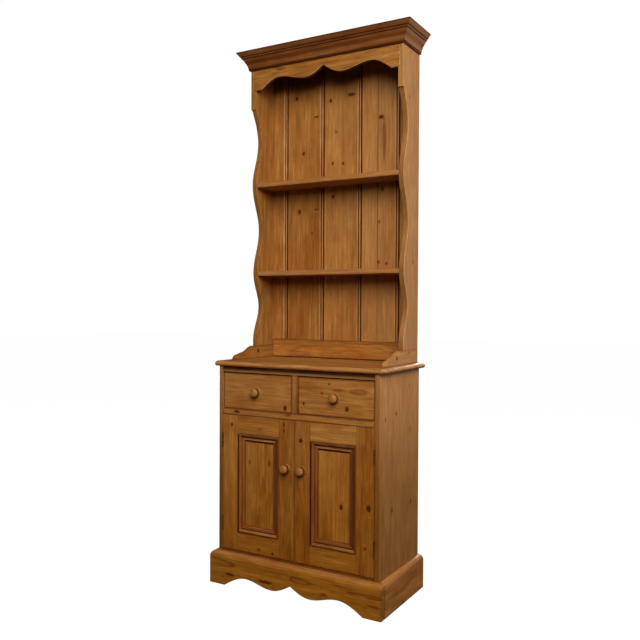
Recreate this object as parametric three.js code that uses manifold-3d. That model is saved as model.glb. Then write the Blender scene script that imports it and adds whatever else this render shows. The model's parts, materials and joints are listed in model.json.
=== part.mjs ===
// Welsh dresser: a narrow pine dresser, with a shelved rack over two drawers and a pair of panelled doors.
// Millimetres, +Z up. The origin is on the floor, under the middle of the dresser's width and depth.
// The pieces are drawn with Y counted back from the front face of the case, and moved to the origin at the end.

import * as THREE from 'three';
import { mergeVertices } from 'three/addons/utils/BufferGeometryUtils.js';
import Module from 'manifold-3d';

// Fits
const joint_gap = 0.3; // left in every glued, nailed or housed joint
const running_gap = 1; // under a drawer's front, and behind the drawer
const drawer_side_gap = 2.5;
const drawer_top_gap = 4;
const door_gap = 1.5; // round each door, at the case
const meeting_gap = 2; // between the two doors
const overrun = 1; // how far a cutter passes the face that it opens

// Case
const carcass_width = 642;
const carcass_depth = 324;
const carcass_side_thickness = 16;
const worktop_height = 802; // its upper face
const worktop_thickness = 17.5;
const top_rail_thickness = 20.5;
const drawer_opening_height = 132;
const mid_rail_thickness = 21;
const rail_depth = 60;
const deck_thickness = 12; // the board that the drawers run on
const partition_thickness = 22;
const cupboard_floor_rise = 8; // upper face of the bottom board, above the plinth
const bottom_board_thickness = 18;
const case_back_thickness = 10;
const case_back_inset = 2;
const cupboard_shelf_rise = 252; // its upper face, above the bottom board
const cupboard_shelf_thickness = 16;
const cupboard_shelf_setback = 40;

// Worktop edge
const worktop_side_overhang = 23;
const worktop_front_overhang = 10;
const worktop_corner_radius = 18;
const worktop_edge_width = 13;
const worktop_edge_height = 12.5; // of the thumbnail round, from the upper face down
const worktop_edge_undercut = 3;

// Plinth
const plinth_height = 116;
const plinth_front_thickness = 26;
const plinth_side_thickness = 22;
const plinth_round = 18; // radius of its upper edge
const plinth_cusp_height = 47;
const plinth_lobe_height = 18.5;
const plinth_arch_height = 37.5;
const plinth_place_shares = { lobe: 0.227, arch: 0.535, foot: 0.808 }; // of half the plinth's width

// Drawers
const drawer_front_thickness = 20;
const drawer_front_setback = 3; // behind the front of the case
const drawer_side_thickness = 10;
const drawer_side_clearance = 11.7; // over the drawer's sides, under the top rail
const drawer_bottom_thickness = 6;
const drawer_bottom_rise = 8; // from the lower edge of the drawer's sides
const drawer_groove_depth = 5;

// Doors
const door_thickness = 20;
const hinge_stile_width = 65.5;
const meeting_stile_width = 62;
const door_top_rail_width = 63;
const door_bottom_rail_width = 65;
const tenon_length = 35;
const tenon_thickness = 8;
const tenon_shoulder = 10;
const panel_thickness = 8;
const panel_recess = 9; // from the door's face back to the panel's
const panel_tongue = 6; // how far the panel enters its groove

// Moulding planted round each panel
const moulding_width = 27;
const moulding_proud = 2.5; // in front of the door's face
const moulding_bead_width = 5;
const moulding_slope_foot = 3.5; // height over the panel, where the hollow slope ends
const moulding_inner_bead_width = 4;
const moulding_inner_bead_height = 4.8;
const moulding_lip_height = 1.5;
const moulding_steps = 3;
const moulding_slope_share = 0.72; // of the moulding's width, where the slope ends

// Turned knobs
const knob_reach = 30; // from the front face out to the top of the knob
const knob_head_radius = 17.5;
const knob_collar_radius = 15;
const knob_neck_radius = 9;
const knob_collar_height = 5;
const knob_neck_height = 12;
const spigot_radius = 6;
const spigot_end_gap = 1; // from the spigot's end to the board's back face
const knob_sides = 16;
const door_knob_drop = 167.5; // below the upper end of the door

// Butt hinges
const hinge_length = 50;
const hinge_end_distance = 92; // from the door's end to the middle of the hinge
const hinge_leaf_thickness = 1.2;
const hinge_leaf_width = 18;
const hinge_leaf_offset = 0.35; // from the pin's middle plane to each leaf
const knuckle_radius = 3;
const knuckle_count = 5;
const pin_radius = 1.2;
const pin_proud = 1; // how far the pin's middle stands in front of the door
const hinge_sides = 12;

// Rack
const rack_inset = 6; // from the outer face of the case in to the rack's
const rack_depth = 142;
const rack_side_thickness = 20;
const rack_top_thickness = 16;
const shelf_thickness = 18;
const shelf_lower_rise = 332; // upper face of the lower shelf, above the worktop
const shelf_pitch = 336; // from one shelf to the next
const rack_head = 472; // from the upper shelf to the upper end of the rack's sides
const shelf_lower_setback = 16; // from the rack's front plane
const shelf_upper_setback = 9;

// Scalloped front edge of the rack's sides, set back from the rack's front plane
const straight_length = 194; // of the straight part behind and under the apron
const scallop_step = 6;
const scallop_top_share = 0.582; // of the way up from the upper shelf to the straight part, where it is deepest
const scallop_top_depth = 46;
const bulge_upper_depth = 10;
const scallop_middle_depth = 52;
const bulge_lower_depth = 17;
const scallop_bottom_depth = 51;
const bulge_foot_rise = 23.7; // above the rack's feet
const bulge_foot_depth = 16;
const scallop_steps = 12;

// Rack feet, laid on the worktop
const foot_height = 46;
const foot_reach = 116; // in front of the rack's front plane
const foot_nose_height = 18;
const foot_nose_length = 26;
const foot_flat_height = 24;
const foot_place_shares = { slope_start: 1.02, slope_end: 0.44 }; // of the reach, back from the nose

// Rack back
const rack_back_thickness = 12;
const rack_back_inset = 3;
const rack_rail_height = 70;
const rack_rail_proud = 3;
const board_joint_shares = [0.106, 0.382, 0.653, 0.912]; // of the width between the rack's sides
const board_bead_radius = 3.5;
const board_quirk_width = 4;
const board_quirk_depth = 4.5;
const board_slope_width = 6; // down to the quirk
const board_slope_depth = 2.5;
const board_chamfer_width = 6; // of the next board's edge
const board_chamfer_depth = 3;

// Apron under the cornice
const apron_thickness = 18;
const apron_rebate_width = 7.5; // how far it is let into the front of each side
const apron_foot_drop = 76.5; // below the cornice
const apron_arch_drop = 37.5;
const apron_lobe_drop = 56.5;
const apron_cusp_drop = 23;
const apron_place_shares = { lobe: 0.241, arch: 0.603, foot: 0.851 }; // of half the rack's width

// Cornice
const cornice_height = 66.5;
const cornice_projection = 42;
const cornice_lip = 1.7; // how far the cornice stands above the lid
const cornice_bead_radius = 3;
const cornice_cove_start_shares = [0.17, 0.13]; // of the projection, and of the height
const cornice_cove_pull_shares = [0.21, 0.316];
const cornice_cove_end_shares = [0.57, 0.64];
const cornice_step_shares = [[0.624, 0.647], [0.679, 0.737], [0.726, 0.744], [0.869, 0.872]];
const cornice_cove_steps = 8;

// Sizes worked out from those above
const case_half = carcass_width / 2;
const case_inner_half = case_half - carcass_side_thickness;
const cupboard_floor_height = plinth_height + cupboard_floor_rise;
const cupboard_shelf_height = cupboard_floor_height + cupboard_shelf_rise;
const worktop_underside = worktop_height - worktop_thickness;
const drawer_opening_top = worktop_underside - top_rail_thickness;
const deck_height = drawer_opening_top - drawer_opening_height;
const door_opening_top = deck_height - mid_rail_thickness;
const case_back_front = carcass_depth - case_back_inset - case_back_thickness;
const plinth_half = case_half + plinth_side_thickness;
const rack_front = carcass_depth - rack_depth;
const rack_half = case_half - rack_inset;
const rack_inner_half = rack_half - rack_side_thickness;
const rack_back_front = carcass_depth - rack_back_inset - rack_back_thickness;
const shelf_lower_height = worktop_height + shelf_lower_rise;
const shelf_upper_height = shelf_lower_height + shelf_pitch;
const rack_side_top = shelf_upper_height + rack_head;
const cornice_top = rack_side_top + joint_gap + rack_top_thickness + cornice_lip;
const cornice_underside = cornice_top - cornice_height;
const front_reach = Math.max(plinth_front_thickness, knob_reach, worktop_front_overhang);
const depth_middle = (carcass_depth - front_reach) / 2;

// Finishes
function finish(name, color, roughness, metalness) {
  return new THREE.MeshStandardMaterial({ name, color, roughness, metalness });
}

const pine = finish('pine', 0xb27a45, 0.5, 0);
const red_pine = finish('red_pine', 0x8d5630, 0.5, 0);
const bare_pine = finish('bare_pine', 0xc79a66, 0.7, 0);
const brass = finish('brass', 0x6b5233, 0.5, 0.8);

const wasm = await Module();
wasm.setup();

// Six times the volume that the triangles of an unindexed geometry enclose.
function signed_volume(position) {
  const corners = [new THREE.Vector3(), new THREE.Vector3(), new THREE.Vector3()];
  let sum = 0;
  for (let i = 0; i < position.count; i += corners.length) {
    corners.forEach((corner, k) => corner.fromBufferAttribute(position, i + k));
    sum += corners[0].dot(corners[1].cross(corners[2]));
  }
  return sum;
}

// The same triangles with no index, turned so that they all face out.
function facing_out(geometry) {
  const flat = geometry.index ? geometry.toNonIndexed() : geometry.clone();
  const position = flat.attributes.position;
  if (signed_volume(position) < 0) {
    const second = new THREE.Vector3();
    const third = new THREE.Vector3();
    for (let i = 0; i < position.count; i += 3) {
      second.fromBufferAttribute(position, i + 1);
      third.fromBufferAttribute(position, i + 2);
      position.setXYZ(i + 1, ...third);
      position.setXYZ(i + 2, ...second);
    }
  }
  flat.computeVertexNormals();
  return flat;
}

function mirrored(geometry) {
  return facing_out(geometry.clone().scale(-1, 1, 1));
}

function placed(geometry, sign) {
  return sign < 0 ? mirrored(geometry) : geometry;
}

// Joining and cutting
function to_solid(geometry) {
  const bare = geometry.clone();
  bare.deleteAttribute('normal');
  bare.deleteAttribute('uv');
  const merged = mergeVertices(bare);
  const vertProperties = new Float32Array(merged.attributes.position.array);
  const triVerts = new Uint32Array(merged.index.array);
  return new wasm.Manifold(new wasm.Mesh({ numProp: 3, vertProperties, triVerts }));
}

function to_geometry(solid) {
  const mesh = solid.getMesh();
  const geometry = new THREE.BufferGeometry();
  geometry.setAttribute('position', new THREE.BufferAttribute(mesh.vertProperties, 3));
  geometry.setIndex(new THREE.BufferAttribute(mesh.triVerts, 1));
  return facing_out(geometry);
}

function cut(geometry, cutters) {
  const left = cutters.reduce((solid, cutter) => solid.subtract(to_solid(cutter)), to_solid(geometry));
  return to_geometry(left);
}

function joined(geometries) {
  return to_geometry(geometries.map(to_solid).reduce((whole, next) => whole.add(next)));
}

// A plain board between two opposite corners.
function board([x0, y0, z0], [x1, y1, z1]) {
  const box = new THREE.BoxGeometry(x1 - x0, y1 - y0, z1 - z0);
  return box.translate((x0 + x1) / 2, (y0 + y1) / 2, (z0 + z1) / 2);
}

// A cutter for a board: the board with a clearance all round.
function cutter_for([x0, y0, z0], [x1, y1, z1]) {
  const low = [x0 - joint_gap, y0 - joint_gap, z0 - joint_gap];
  const high = [x1 + joint_gap, y1 + joint_gap, z1 + joint_gap];
  return board(low, high);
}

// Outlines drawn in two axes and given their thickness along the third.
function extruded(outline, depth, basis) {
  const geometry = new THREE.ExtrudeGeometry(new THREE.Shape(outline), { depth, bevelEnabled: false });
  return geometry.applyMatrix4(basis);
}

function along_x(outline_yz, x0, x1) {
  const axes = [new THREE.Vector3(0, 1, 0), new THREE.Vector3(0, 0, 1), new THREE.Vector3(1, 0, 0)];
  return extruded(outline_yz, x1 - x0, new THREE.Matrix4().makeBasis(...axes)).translate(x0, 0, 0);
}

function along_y(outline_xz, y0, y1) {
  const axes = [new THREE.Vector3(1, 0, 0), new THREE.Vector3(0, 0, 1), new THREE.Vector3(0, -1, 0)];
  return extruded(outline_xz, y1 - y0, new THREE.Matrix4().makeBasis(...axes)).translate(0, y1, 0);
}

function along_z(outline_xy, z0, z1) {
  return extruded(outline_xy, z1 - z0, new THREE.Matrix4()).translate(0, 0, z0);
}

// Triangles over a flat loop, wound the way that the loop runs.
function cap_triangles(loop) {
  const normal = new THREE.Vector3();
  loop.forEach((point, i) => normal.add(point.clone().cross(loop[(i + 1) % loop.length])));
  const size = normal.toArray().map(Math.abs);
  const dropped = size.indexOf(Math.max(...size));
  const flat = loop.map((point) => new THREE.Vector2(...point.toArray().filter((_, axis) => axis !== dropped)));
  const turn = Math.sign(THREE.ShapeUtils.area(flat));
  return THREE.ShapeUtils.triangulateShape(flat, []).map((face) => {
    const corners = face.map((index) => loop[index]);
    const face_turn = Math.sign(THREE.ShapeUtils.area(face.map((index) => flat[index])));
    return face_turn === turn ? corners : corners.reverse();
  });
}

// A closed skin over loops with as many points each: capped at both ends, or closed on itself as a ring.
function lofted(loops, ring = false) {
  const triangles = [];
  const spans = ring ? loops.length : loops.length - 1;
  for (let i = 0; i < spans; i += 1) {
    const near = loops[i];
    const far = loops[(i + 1) % loops.length];
    near.forEach((point, j) => {
      const next = (j + 1) % near.length;
      triangles.push([point, near[next], far[next]], [point, far[next], far[j]]);
    });
  }
  if (!ring) {
    cap_triangles(loops[0]).forEach((corners) => triangles.push(corners.reverse()));
    triangles.push(...cap_triangles(loops[loops.length - 1]));
  }
  return facing_out(new THREE.BufferGeometry().setFromPoints(triangles.flat()));
}

// Part of an ellipse as points, from one angle to another in quarter turns.
function quarter_arc(centre, radii, from, to, steps) {
  const points = [];
  for (let i = 0; i <= steps; i += 1) {
    const angle = (from + ((to - from) * i) / steps) * (Math.PI / 2);
    points.push([centre[0] + radii[0] * Math.cos(angle), centre[1] + radii[1] * Math.sin(angle)]);
  }
  return points;
}

// A row of sizes that eases from one to another: as half a wave, as a hollow that starts steeply, or as a drop.
const easings = {
  wave: (t) => (1 - Math.cos(Math.PI * t)) / 2,
  hollow: (t) => Math.sin((Math.PI / 2) * t),
  drop: (t) => 1 - Math.cos((Math.PI / 2) * t),
};

function eased(from, to, easing, steps) {
  const points = [];
  for (let i = 1; i <= steps; i += 1) {
    const t = i / steps;
    const rise = easings[easing](t);
    points.push([from[0] + (to[0] - from[0]) * t, from[1] + (to[1] - from[1]) * rise]);
  }
  return points;
}

// Lower edge of a shaped board, from its right end to its left: feet, arches, lobes and a cusp in the middle.
function scalloped_edge(half_width, shares, heights) {
  const half = [[0, heights.cusp]];
  const lobe = [half_width * shares.lobe, heights.lobe];
  const arch = [half_width * shares.arch, heights.arch];
  const foot = [half_width * shares.foot, heights.foot];
  half.push(...eased(half[0], lobe, 'hollow', scallop_steps / 2));
  half.push(...eased(lobe, arch, 'wave', scallop_steps / 2));
  half.push(...eased(arch, foot, 'drop', scallop_steps / 2));
  half.push([half_width, heights.foot]);
  const right = half.slice().reverse();
  const left = half.slice(1).map(([x, z]) => [-x, z]);
  return [...right, ...left];
}

const to_vectors = (points) => points.map(([a, b]) => new THREE.Vector2(a, b));

const dresser = new THREE.Group();
const sides = [{ name: 'left', sign: -1 }, { name: 'right', sign: 1 }];

function add(name, geometry, material) {
  const mesh = new THREE.Mesh(facing_out(geometry), material.clone());
  mesh.name = name;
  mesh.position.set(0, -depth_middle, 0);
  dresser.add(mesh);
}

// Butt hinge on the right-hand side, with its middle at a height. The pin is part of the case's leaf.
const pin_x = case_inner_half - door_gap / 2;
const pin_y = -pin_proud;

function upright(radius, z0, z1) {
  const cylinder = new THREE.CylinderGeometry(radius, radius, z1 - z0, hinge_sides);
  return cylinder.rotateX(Math.PI / 2).translate(pin_x, pin_y, (z0 + z1) / 2);
}

function leaf_plate(sign, y0, z0, z1) {
  const near = pin_x + sign * hinge_leaf_offset;
  const far = near + sign * hinge_leaf_thickness;
  return board([Math.min(near, far), y0, z0], [Math.max(near, far), pin_y + hinge_leaf_width, z1]);
}

function hinge_leaf(sign, middle, held, with_pin) {
  const low = middle - hinge_length / 2;
  const pitch = hinge_length / knuckle_count;
  const clear_y = pin_y + knuckle_radius + joint_gap;
  const pieces = [leaf_plate(sign, clear_y, low, low + hinge_length)];
  for (const knuckle of held) {
    const z0 = low + knuckle * pitch + joint_gap / 2;
    const z1 = low + (knuckle + 1) * pitch - joint_gap / 2;
    pieces.push(leaf_plate(sign, pin_y, z0, z1), upright(knuckle_radius, z0, z1));
  }
  if (with_pin) {
    return joined([...pieces, upright(pin_radius, low + joint_gap / 2, low + hinge_length - joint_gap / 2)]);
  }
  return cut(joined(pieces), [upright(pin_radius + joint_gap, low - overrun, low + hinge_length + overrun)]);
}

function hinge_recess(sign, middle) {
  const low = middle - hinge_length / 2 - joint_gap;
  const high = low + hinge_length + 2 * joint_gap;
  const near = pin_x;
  const far = pin_x + sign * (hinge_leaf_offset + hinge_leaf_thickness + joint_gap);
  const back = pin_y + hinge_leaf_width + joint_gap;
  const pocket = board([Math.min(near, far), pin_y, low], [Math.max(near, far), back, high]);
  return joined([pocket, upright(knuckle_radius + joint_gap, low, high)]);
}

// Turned knob on a spigot, its axis along Y, at a place on a front face.
function knob(x, z, board_thickness) {
  const head_height = knob_reach - knob_neck_height;
  const head = quarter_arc([0, knob_neck_height], [knob_head_radius, head_height], 0, 1, scallop_steps / 2);
  const profile = [
    [0, spigot_end_gap - board_thickness],
    [spigot_radius, spigot_end_gap - board_thickness],
    [spigot_radius, joint_gap],
    [knob_collar_radius, joint_gap],
    [knob_collar_radius, knob_collar_height / 2],
    [(knob_collar_radius + knob_neck_radius) / 2, knob_collar_height],
    [knob_neck_radius, (knob_collar_height + knob_neck_height) / 2],
    ...head.slice(0, -1),
    [0, knob_reach],
  ];
  const turned = profile.map(([radius, out]) => [radius, -out]);
  return facing_out(new THREE.LatheGeometry(to_vectors(turned), knob_sides)).translate(x, 0, z);
}

function knob_hole(x, z, board_thickness) {
  const drill = new THREE.CylinderGeometry(
    spigot_radius + joint_gap,
    spigot_radius + joint_gap,
    board_thickness + 2 * overrun,
    knob_sides,
  );
  return drill.translate(x, board_thickness / 2, z);
}

// Case
function carcass_side(hinge_heights) {
  const outer = [case_half, carcass_depth, worktop_underside - joint_gap];
  return cut(board([case_inner_half, 0, 0], outer), hinge_heights.map((middle) => hinge_recess(1, middle)));
}

const inner_reach = case_inner_half - joint_gap;

function cross_board(y0, y1, z0, z1) {
  return board([-inner_reach, y0, z0], [inner_reach, y1, z1]);
}

function worktop() {
  const half = case_half + worktop_side_overhang;
  const nose = worktop_height - worktop_edge_height;
  const radii = [worktop_edge_width, worktop_edge_height];
  const round = quarter_arc([worktop_edge_width, nose], radii, 2, 1, scallop_steps / 2);
  const profile = [[worktop_edge_undercut, worktop_underside], ...round];
  const loops = profile.map(([inset, z]) => {
    const radius = worktop_corner_radius - inset;
    const x = half - worktop_corner_radius;
    const y = worktop_corner_radius - worktop_front_overhang;
    const right_corner = quarter_arc([x, y], [radius, radius], -1, 0, scallop_steps / 2);
    const left_corner = quarter_arc([-x, y], [radius, radius], -2, -1, scallop_steps / 2);
    const back = [[half - inset, carcass_depth], [inset - half, carcass_depth]];
    return [...left_corner, ...right_corner, ...back].map(([px, py]) => new THREE.Vector3(px, py, z));
  });
  return lofted(loops);
}

// Plinth boards: the front one shaped along the floor, the side ones plain, all with a rounded upper edge.
// A section is given as distance out from the case, and height.
function plinth_section(thickness) {
  const middle = [thickness - plinth_round, plinth_height - plinth_round];
  const round = quarter_arc(middle, [plinth_round, plinth_round], 0, 1, scallop_steps / 2);
  return [[joint_gap, 0], [thickness, 0], ...round, [joint_gap, plinth_height]];
}

function plinth_front() {
  const edge = scalloped_edge(plinth_half, plinth_place_shares, {
    cusp: plinth_cusp_height,
    lobe: plinth_lobe_height,
    arch: plinth_arch_height,
    foot: 0,
  });
  const outline = [...edge, [-plinth_half, plinth_height], [plinth_half, plinth_height]];
  const shaped = along_y(to_vectors(outline), -plinth_front_thickness, -joint_gap);
  const section = plinth_section(plinth_front_thickness).map(([out, z]) => [-out, z]);
  const rounded_front = along_x(to_vectors(section), -plinth_half, plinth_half);
  const right_end = plinth_section(plinth_side_thickness).slice(1, -1).map(([out, z]) => [case_half + out, z]);
  const left_end = right_end.map(([x, z]) => [-x, z]).reverse();
  const both_ends = to_vectors([...right_end, ...left_end]);
  const rounded_ends = along_y(both_ends, -plinth_front_thickness - overrun, overrun);
  return to_geometry(to_solid(shaped).intersect(to_solid(rounded_front)).intersect(to_solid(rounded_ends)));
}

function plinth_side() {
  const section = plinth_section(plinth_side_thickness).map(([out, z]) => [case_half + out, z]);
  return along_y(to_vectors(section), 0, carcass_depth);
}

// Drawers, drawn about their own middle
const drawer_middle = (case_inner_half + partition_thickness / 2) / 2;
const drawer_half = (case_inner_half - partition_thickness / 2) / 2 - drawer_side_gap;
const drawer_side_low = deck_height + joint_gap;
const drawer_side_high = drawer_opening_top - drawer_side_clearance;
const drawer_back = case_back_front - running_gap;
const drawer_front_low = deck_height + running_gap;
const drawer_front_top = drawer_opening_top - drawer_top_gap;
const drawer_front_back = drawer_front_setback + drawer_front_thickness;
const drawer_knob_height = (drawer_front_low + drawer_front_top) / 2;

function drawer_front() {
  const low = [-drawer_half, drawer_front_setback, drawer_front_low];
  const high = [drawer_half, drawer_front_back, drawer_front_top];
  const hole = knob_hole(0, drawer_knob_height, drawer_front_thickness).translate(0, drawer_front_setback, 0);
  return cut(board(low, high), [hole]);
}

function drawer_knob() {
  return knob(0, drawer_knob_height, drawer_front_thickness).translate(0, drawer_front_setback, 0);
}

const drawer_inner_half = drawer_half - drawer_side_thickness;
const drawer_bottom_low = [
  -drawer_inner_half - drawer_groove_depth,
  drawer_front_back + joint_gap,
  drawer_side_low + drawer_bottom_rise,
];
const drawer_bottom_high = [
  drawer_inner_half + drawer_groove_depth,
  drawer_back - drawer_side_thickness + drawer_groove_depth,
  drawer_side_low + drawer_bottom_rise + drawer_bottom_thickness,
];

function drawer_box() {
  const front = drawer_front_back + joint_gap;
  const inner_back = drawer_back - drawer_side_thickness;
  const outline = [
    [-drawer_half, front],
    [-drawer_inner_half, front],
    [-drawer_inner_half, inner_back],
    [drawer_inner_half, inner_back],
    [drawer_inner_half, front],
    [drawer_half, front],
    [drawer_half, drawer_back],
    [-drawer_half, drawer_back],
  ];
  const walls = along_z(to_vectors(outline), drawer_side_low, drawer_side_high);
  return cut(walls, [cutter_for(drawer_bottom_low, drawer_bottom_high)]);
}

// Doors, drawn for the right-hand side
const door_low = cupboard_floor_height + door_gap;
const door_high = door_opening_top - door_gap;
const door_inner = meeting_gap / 2;
const door_outer = case_inner_half - door_gap;
const opening_x0 = door_inner + meeting_stile_width;
const opening_x1 = door_outer - hinge_stile_width;
const opening_z0 = door_low + door_bottom_rail_width;
const opening_z1 = door_high - door_top_rail_width;
const hinge_heights = [door_low + hinge_end_distance, door_high - hinge_end_distance];
const door_knob_x = (door_inner + opening_x0) / 2;
const door_knob_height = door_high - door_knob_drop;
const panel_low = [opening_x0 - panel_tongue, panel_recess, opening_z0 - panel_tongue];
const panel_high = [opening_x1 + panel_tongue, panel_recess + panel_thickness, opening_z1 + panel_tongue];
const rail_x0 = opening_x0 + joint_gap;
const rail_x1 = opening_x1 - joint_gap;

function rail_tenon(z0, z1) {
  const y0 = (door_thickness - tenon_thickness) / 2;
  const low = [rail_x0 - tenon_length, y0, z0 + tenon_shoulder];
  const high = [rail_x1 + tenon_length, y0 + tenon_thickness, z1 - tenon_shoulder];
  return [low, high];
}

const rail_spans = [[door_low, opening_z0], [opening_z1, door_high]];
const mortises = rail_spans.map(([z0, z1]) => cutter_for(...rail_tenon(z0, z1)));

function door_rail([z0, z1]) {
  const rail = board([rail_x0, 0, z0], [rail_x1, door_thickness, z1]);
  const whole = joined([rail, board(...rail_tenon(z0, z1))]);
  return cut(whole, [cutter_for(panel_low, panel_high)]);
}

function meeting_stile() {
  const stile = board([door_inner, 0, door_low], [opening_x0, door_thickness, door_high]);
  const hole = knob_hole(door_knob_x, door_knob_height, door_thickness);
  return cut(stile, [cutter_for(panel_low, panel_high), hole, ...mortises]);
}

function hinge_stile() {
  const stile = board([opening_x1, 0, door_low], [door_outer, door_thickness, door_high]);
  const recesses = hinge_heights.map((middle) => hinge_recess(-1, middle));
  return cut(stile, [cutter_for(panel_low, panel_high), ...mortises, ...recesses]);
}

// The moulding's section, as distance in from its outer edge and height over the panel.
function moulding_section() {
  const crown = panel_recess + moulding_proud;
  const bead_radius = moulding_bead_width / 2;
  const slope_top = [moulding_bead_width, crown - bead_radius];
  const slope_foot = [moulding_width * moulding_slope_share, moulding_slope_foot];
  const inner_radii = [moulding_inner_bead_width / 2, moulding_inner_bead_height - moulding_lip_height];
  const inner_middle = [slope_foot[0] + inner_radii[0], moulding_lip_height];
  return [
    [0, 0],
    ...quarter_arc([bead_radius, slope_top[1]], [bead_radius, bead_radius], 2, 0, scallop_steps / 2),
    ...eased(slope_top, slope_foot, 'hollow', moulding_steps),
    ...quarter_arc(inner_middle, inner_radii, 2, 0, scallop_steps / 2),
    [moulding_width, moulding_lip_height],
    [moulding_width, 0],
  ];
}

function door_moulding() {
  const x0 = opening_x0 + joint_gap;
  const x1 = opening_x1 - joint_gap;
  const z0 = opening_z0 + joint_gap;
  const z1 = opening_z1 - joint_gap;
  const base = panel_recess - joint_gap;
  const corners = [[x0, z0, 1, 1], [x1, z0, -1, 1], [x1, z1, -1, -1], [x0, z1, 1, -1]];
  const section = moulding_section();
  const loops = corners.map(([x, z, in_x, in_z]) =>
    section.map(([inward, height]) => new THREE.Vector3(x + in_x * inward, base - height, z + in_z * inward)),
  );
  return lofted(loops, true);
}

// Rack
const foot_top = worktop_height + joint_gap + foot_height;

function rack_side_outline() {
  const shelf_middles = [shelf_upper_height, shelf_lower_height].map((height) => height - shelf_thickness / 2);
  const bottom = foot_top + joint_gap;
  const bulge_foot_height = foot_top + bulge_foot_rise;
  const hollow_middle = (shelf_middles[0] + shelf_middles[1]) / 2;
  const bottom_middle = (shelf_middles[1] + bulge_foot_height) / 2;
  const bulges = [bulge_upper_depth, bulge_lower_depth];
  const straight_end = rack_side_top - straight_length;
  const top_hollow = shelf_middles[0] + (straight_end - shelf_middles[0]) * scallop_top_share;
  const edge = [[rack_side_top, 0], [straight_end, 0], [straight_end, scallop_step]];
  const run = [
    [[top_hollow, scallop_top_depth], 'hollow'],
    [[shelf_middles[0], bulges[0]], 'wave'],
    [[hollow_middle, scallop_middle_depth], 'wave'],
    [[shelf_middles[1], bulges[1]], 'wave'],
    [[bottom_middle, scallop_bottom_depth], 'wave'],
    [[bulge_foot_height, bulge_foot_depth], 'wave'],
  ];
  for (const [target, easing] of run) {
    edge.push(...eased(edge[edge.length - 1], target, easing, scallop_steps / 2));
  }
  edge.push([bottom, bulge_foot_depth]);
  const front = edge.map(([z, depth]) => [rack_front + depth, z]);
  return [...front, [carcass_depth, bottom], [carcass_depth, rack_side_top]];
}

function rack_side() {
  const blank = along_x(to_vectors(rack_side_outline()), rack_inner_half, rack_half);
  const low = [rack_inner_half - overrun, rack_front - overrun, cornice_underside - apron_foot_drop];
  const high = [rack_inner_half + apron_rebate_width, rack_front + apron_thickness, rack_side_top + overrun];
  return cut(blank, [board(low, high)]);
}

function rack_foot() {
  const nose = rack_front - foot_reach;
  const low = worktop_height + joint_gap;
  const slope_start = nose + foot_reach * foot_place_shares.slope_start;
  const slope_end = nose + foot_reach * foot_place_shares.slope_end;
  const nose_back = nose + foot_nose_length;
  const slope_low = [slope_end, low + foot_flat_height];
  const outline = [
    ...quarter_arc([nose_back, low], [foot_nose_length, foot_nose_height], 2, 1, scallop_steps / 2),
    slope_low,
    ...eased(slope_low, [slope_start, foot_top], 'wave', scallop_steps / 2),
    [carcass_depth, foot_top],
    [carcass_depth, low],
  ];
  return along_x(to_vectors(outline), rack_inner_half, rack_half);
}

function rack_shelf(height, setback) {
  const reach = rack_inner_half - joint_gap;
  const front = rack_front + setback;
  return board([-reach, front, height - shelf_thickness], [reach, rack_back_front - joint_gap, height]);
}

function rack_apron() {
  const half = rack_inner_half + apron_rebate_width - joint_gap;
  const edge = scalloped_edge(rack_half, apron_place_shares, {
    cusp: cornice_underside - apron_cusp_drop,
    lobe: cornice_underside - apron_lobe_drop,
    arch: cornice_underside - apron_arch_drop,
    foot: cornice_underside - apron_foot_drop + joint_gap,
  }).map(([x, z]) => [THREE.MathUtils.clamp(x, -half, half), z]);
  const outline = [...edge, [-half, rack_side_top], [half, rack_side_top]];
  return along_y(to_vectors(outline), rack_front, rack_front + apron_thickness - joint_gap);
}

// One board of the rack's back. It has a slope, a quirk and a bead along its right-hand edge, unless that meets
// the rack's side, and its left-hand edge is chamfered where it meets another board.
function back_board(x0, x1, chamfered, beaded) {
  const y0 = rack_back_front;
  const y1 = rack_back_front + rack_back_thickness;
  const z0 = worktop_height + 2 * joint_gap + rack_rail_height;
  const bead_x = x1 - board_bead_radius;
  const radii = [board_bead_radius, board_bead_radius];
  const bead = quarter_arc([bead_x, y0 + board_bead_radius], radii, -2, 0, scallop_steps / 2);
  const quirk_x = bead_x - board_bead_radius - board_quirk_width;
  const quirk = [
    [quirk_x - board_slope_width, y0],
    [quirk_x, y0 + board_slope_depth],
    [quirk_x + board_quirk_width / 2, y0 + board_quirk_depth],
  ];
  const left = chamfered ? [[x0, y0 + board_chamfer_depth], [x0 + board_chamfer_width, y0]] : [[x0, y0]];
  const right = beaded ? [...quirk, ...bead] : [[x1, y0]];
  const outline = [...left, ...right, [x1, y1], [x0, y1]];
  return along_z(to_vectors(outline), z0, rack_side_top);
}

// Cornice: one section run along the front and both returns, mitred at the corners.
function cornice_section() {
  const place = ([out, up]) => [out * cornice_projection, up * cornice_height];
  const start = place(cornice_cove_start_shares);
  const pull = place(cornice_cove_pull_shares);
  const end = place(cornice_cove_end_shares);
  const curve = new THREE.QuadraticBezierCurve(...to_vectors([start, pull, end]));
  const bead_middle = [cornice_bead_radius, cornice_bead_radius];
  return [
    [0, 0],
    ...quarter_arc(bead_middle, bead_middle, -1, 1, scallop_steps / 2),
    [start[0], 2 * cornice_bead_radius],
    ...curve.getPoints(cornice_cove_steps).map((point) => point.toArray()),
    ...cornice_step_shares.map(place),
    [cornice_projection, cornice_height],
    [0, cornice_height],
  ];
}

const cornice_seat = rack_half + joint_gap;
const cornice_front_seat = rack_front - joint_gap;

function cornice_front() {
  const ends = [-1, 1].map((sign) =>
    cornice_section().map(([out, up]) =>
      new THREE.Vector3(sign * (cornice_seat + out), cornice_front_seat - out, cornice_underside + up)));
  return lofted(ends);
}

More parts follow.
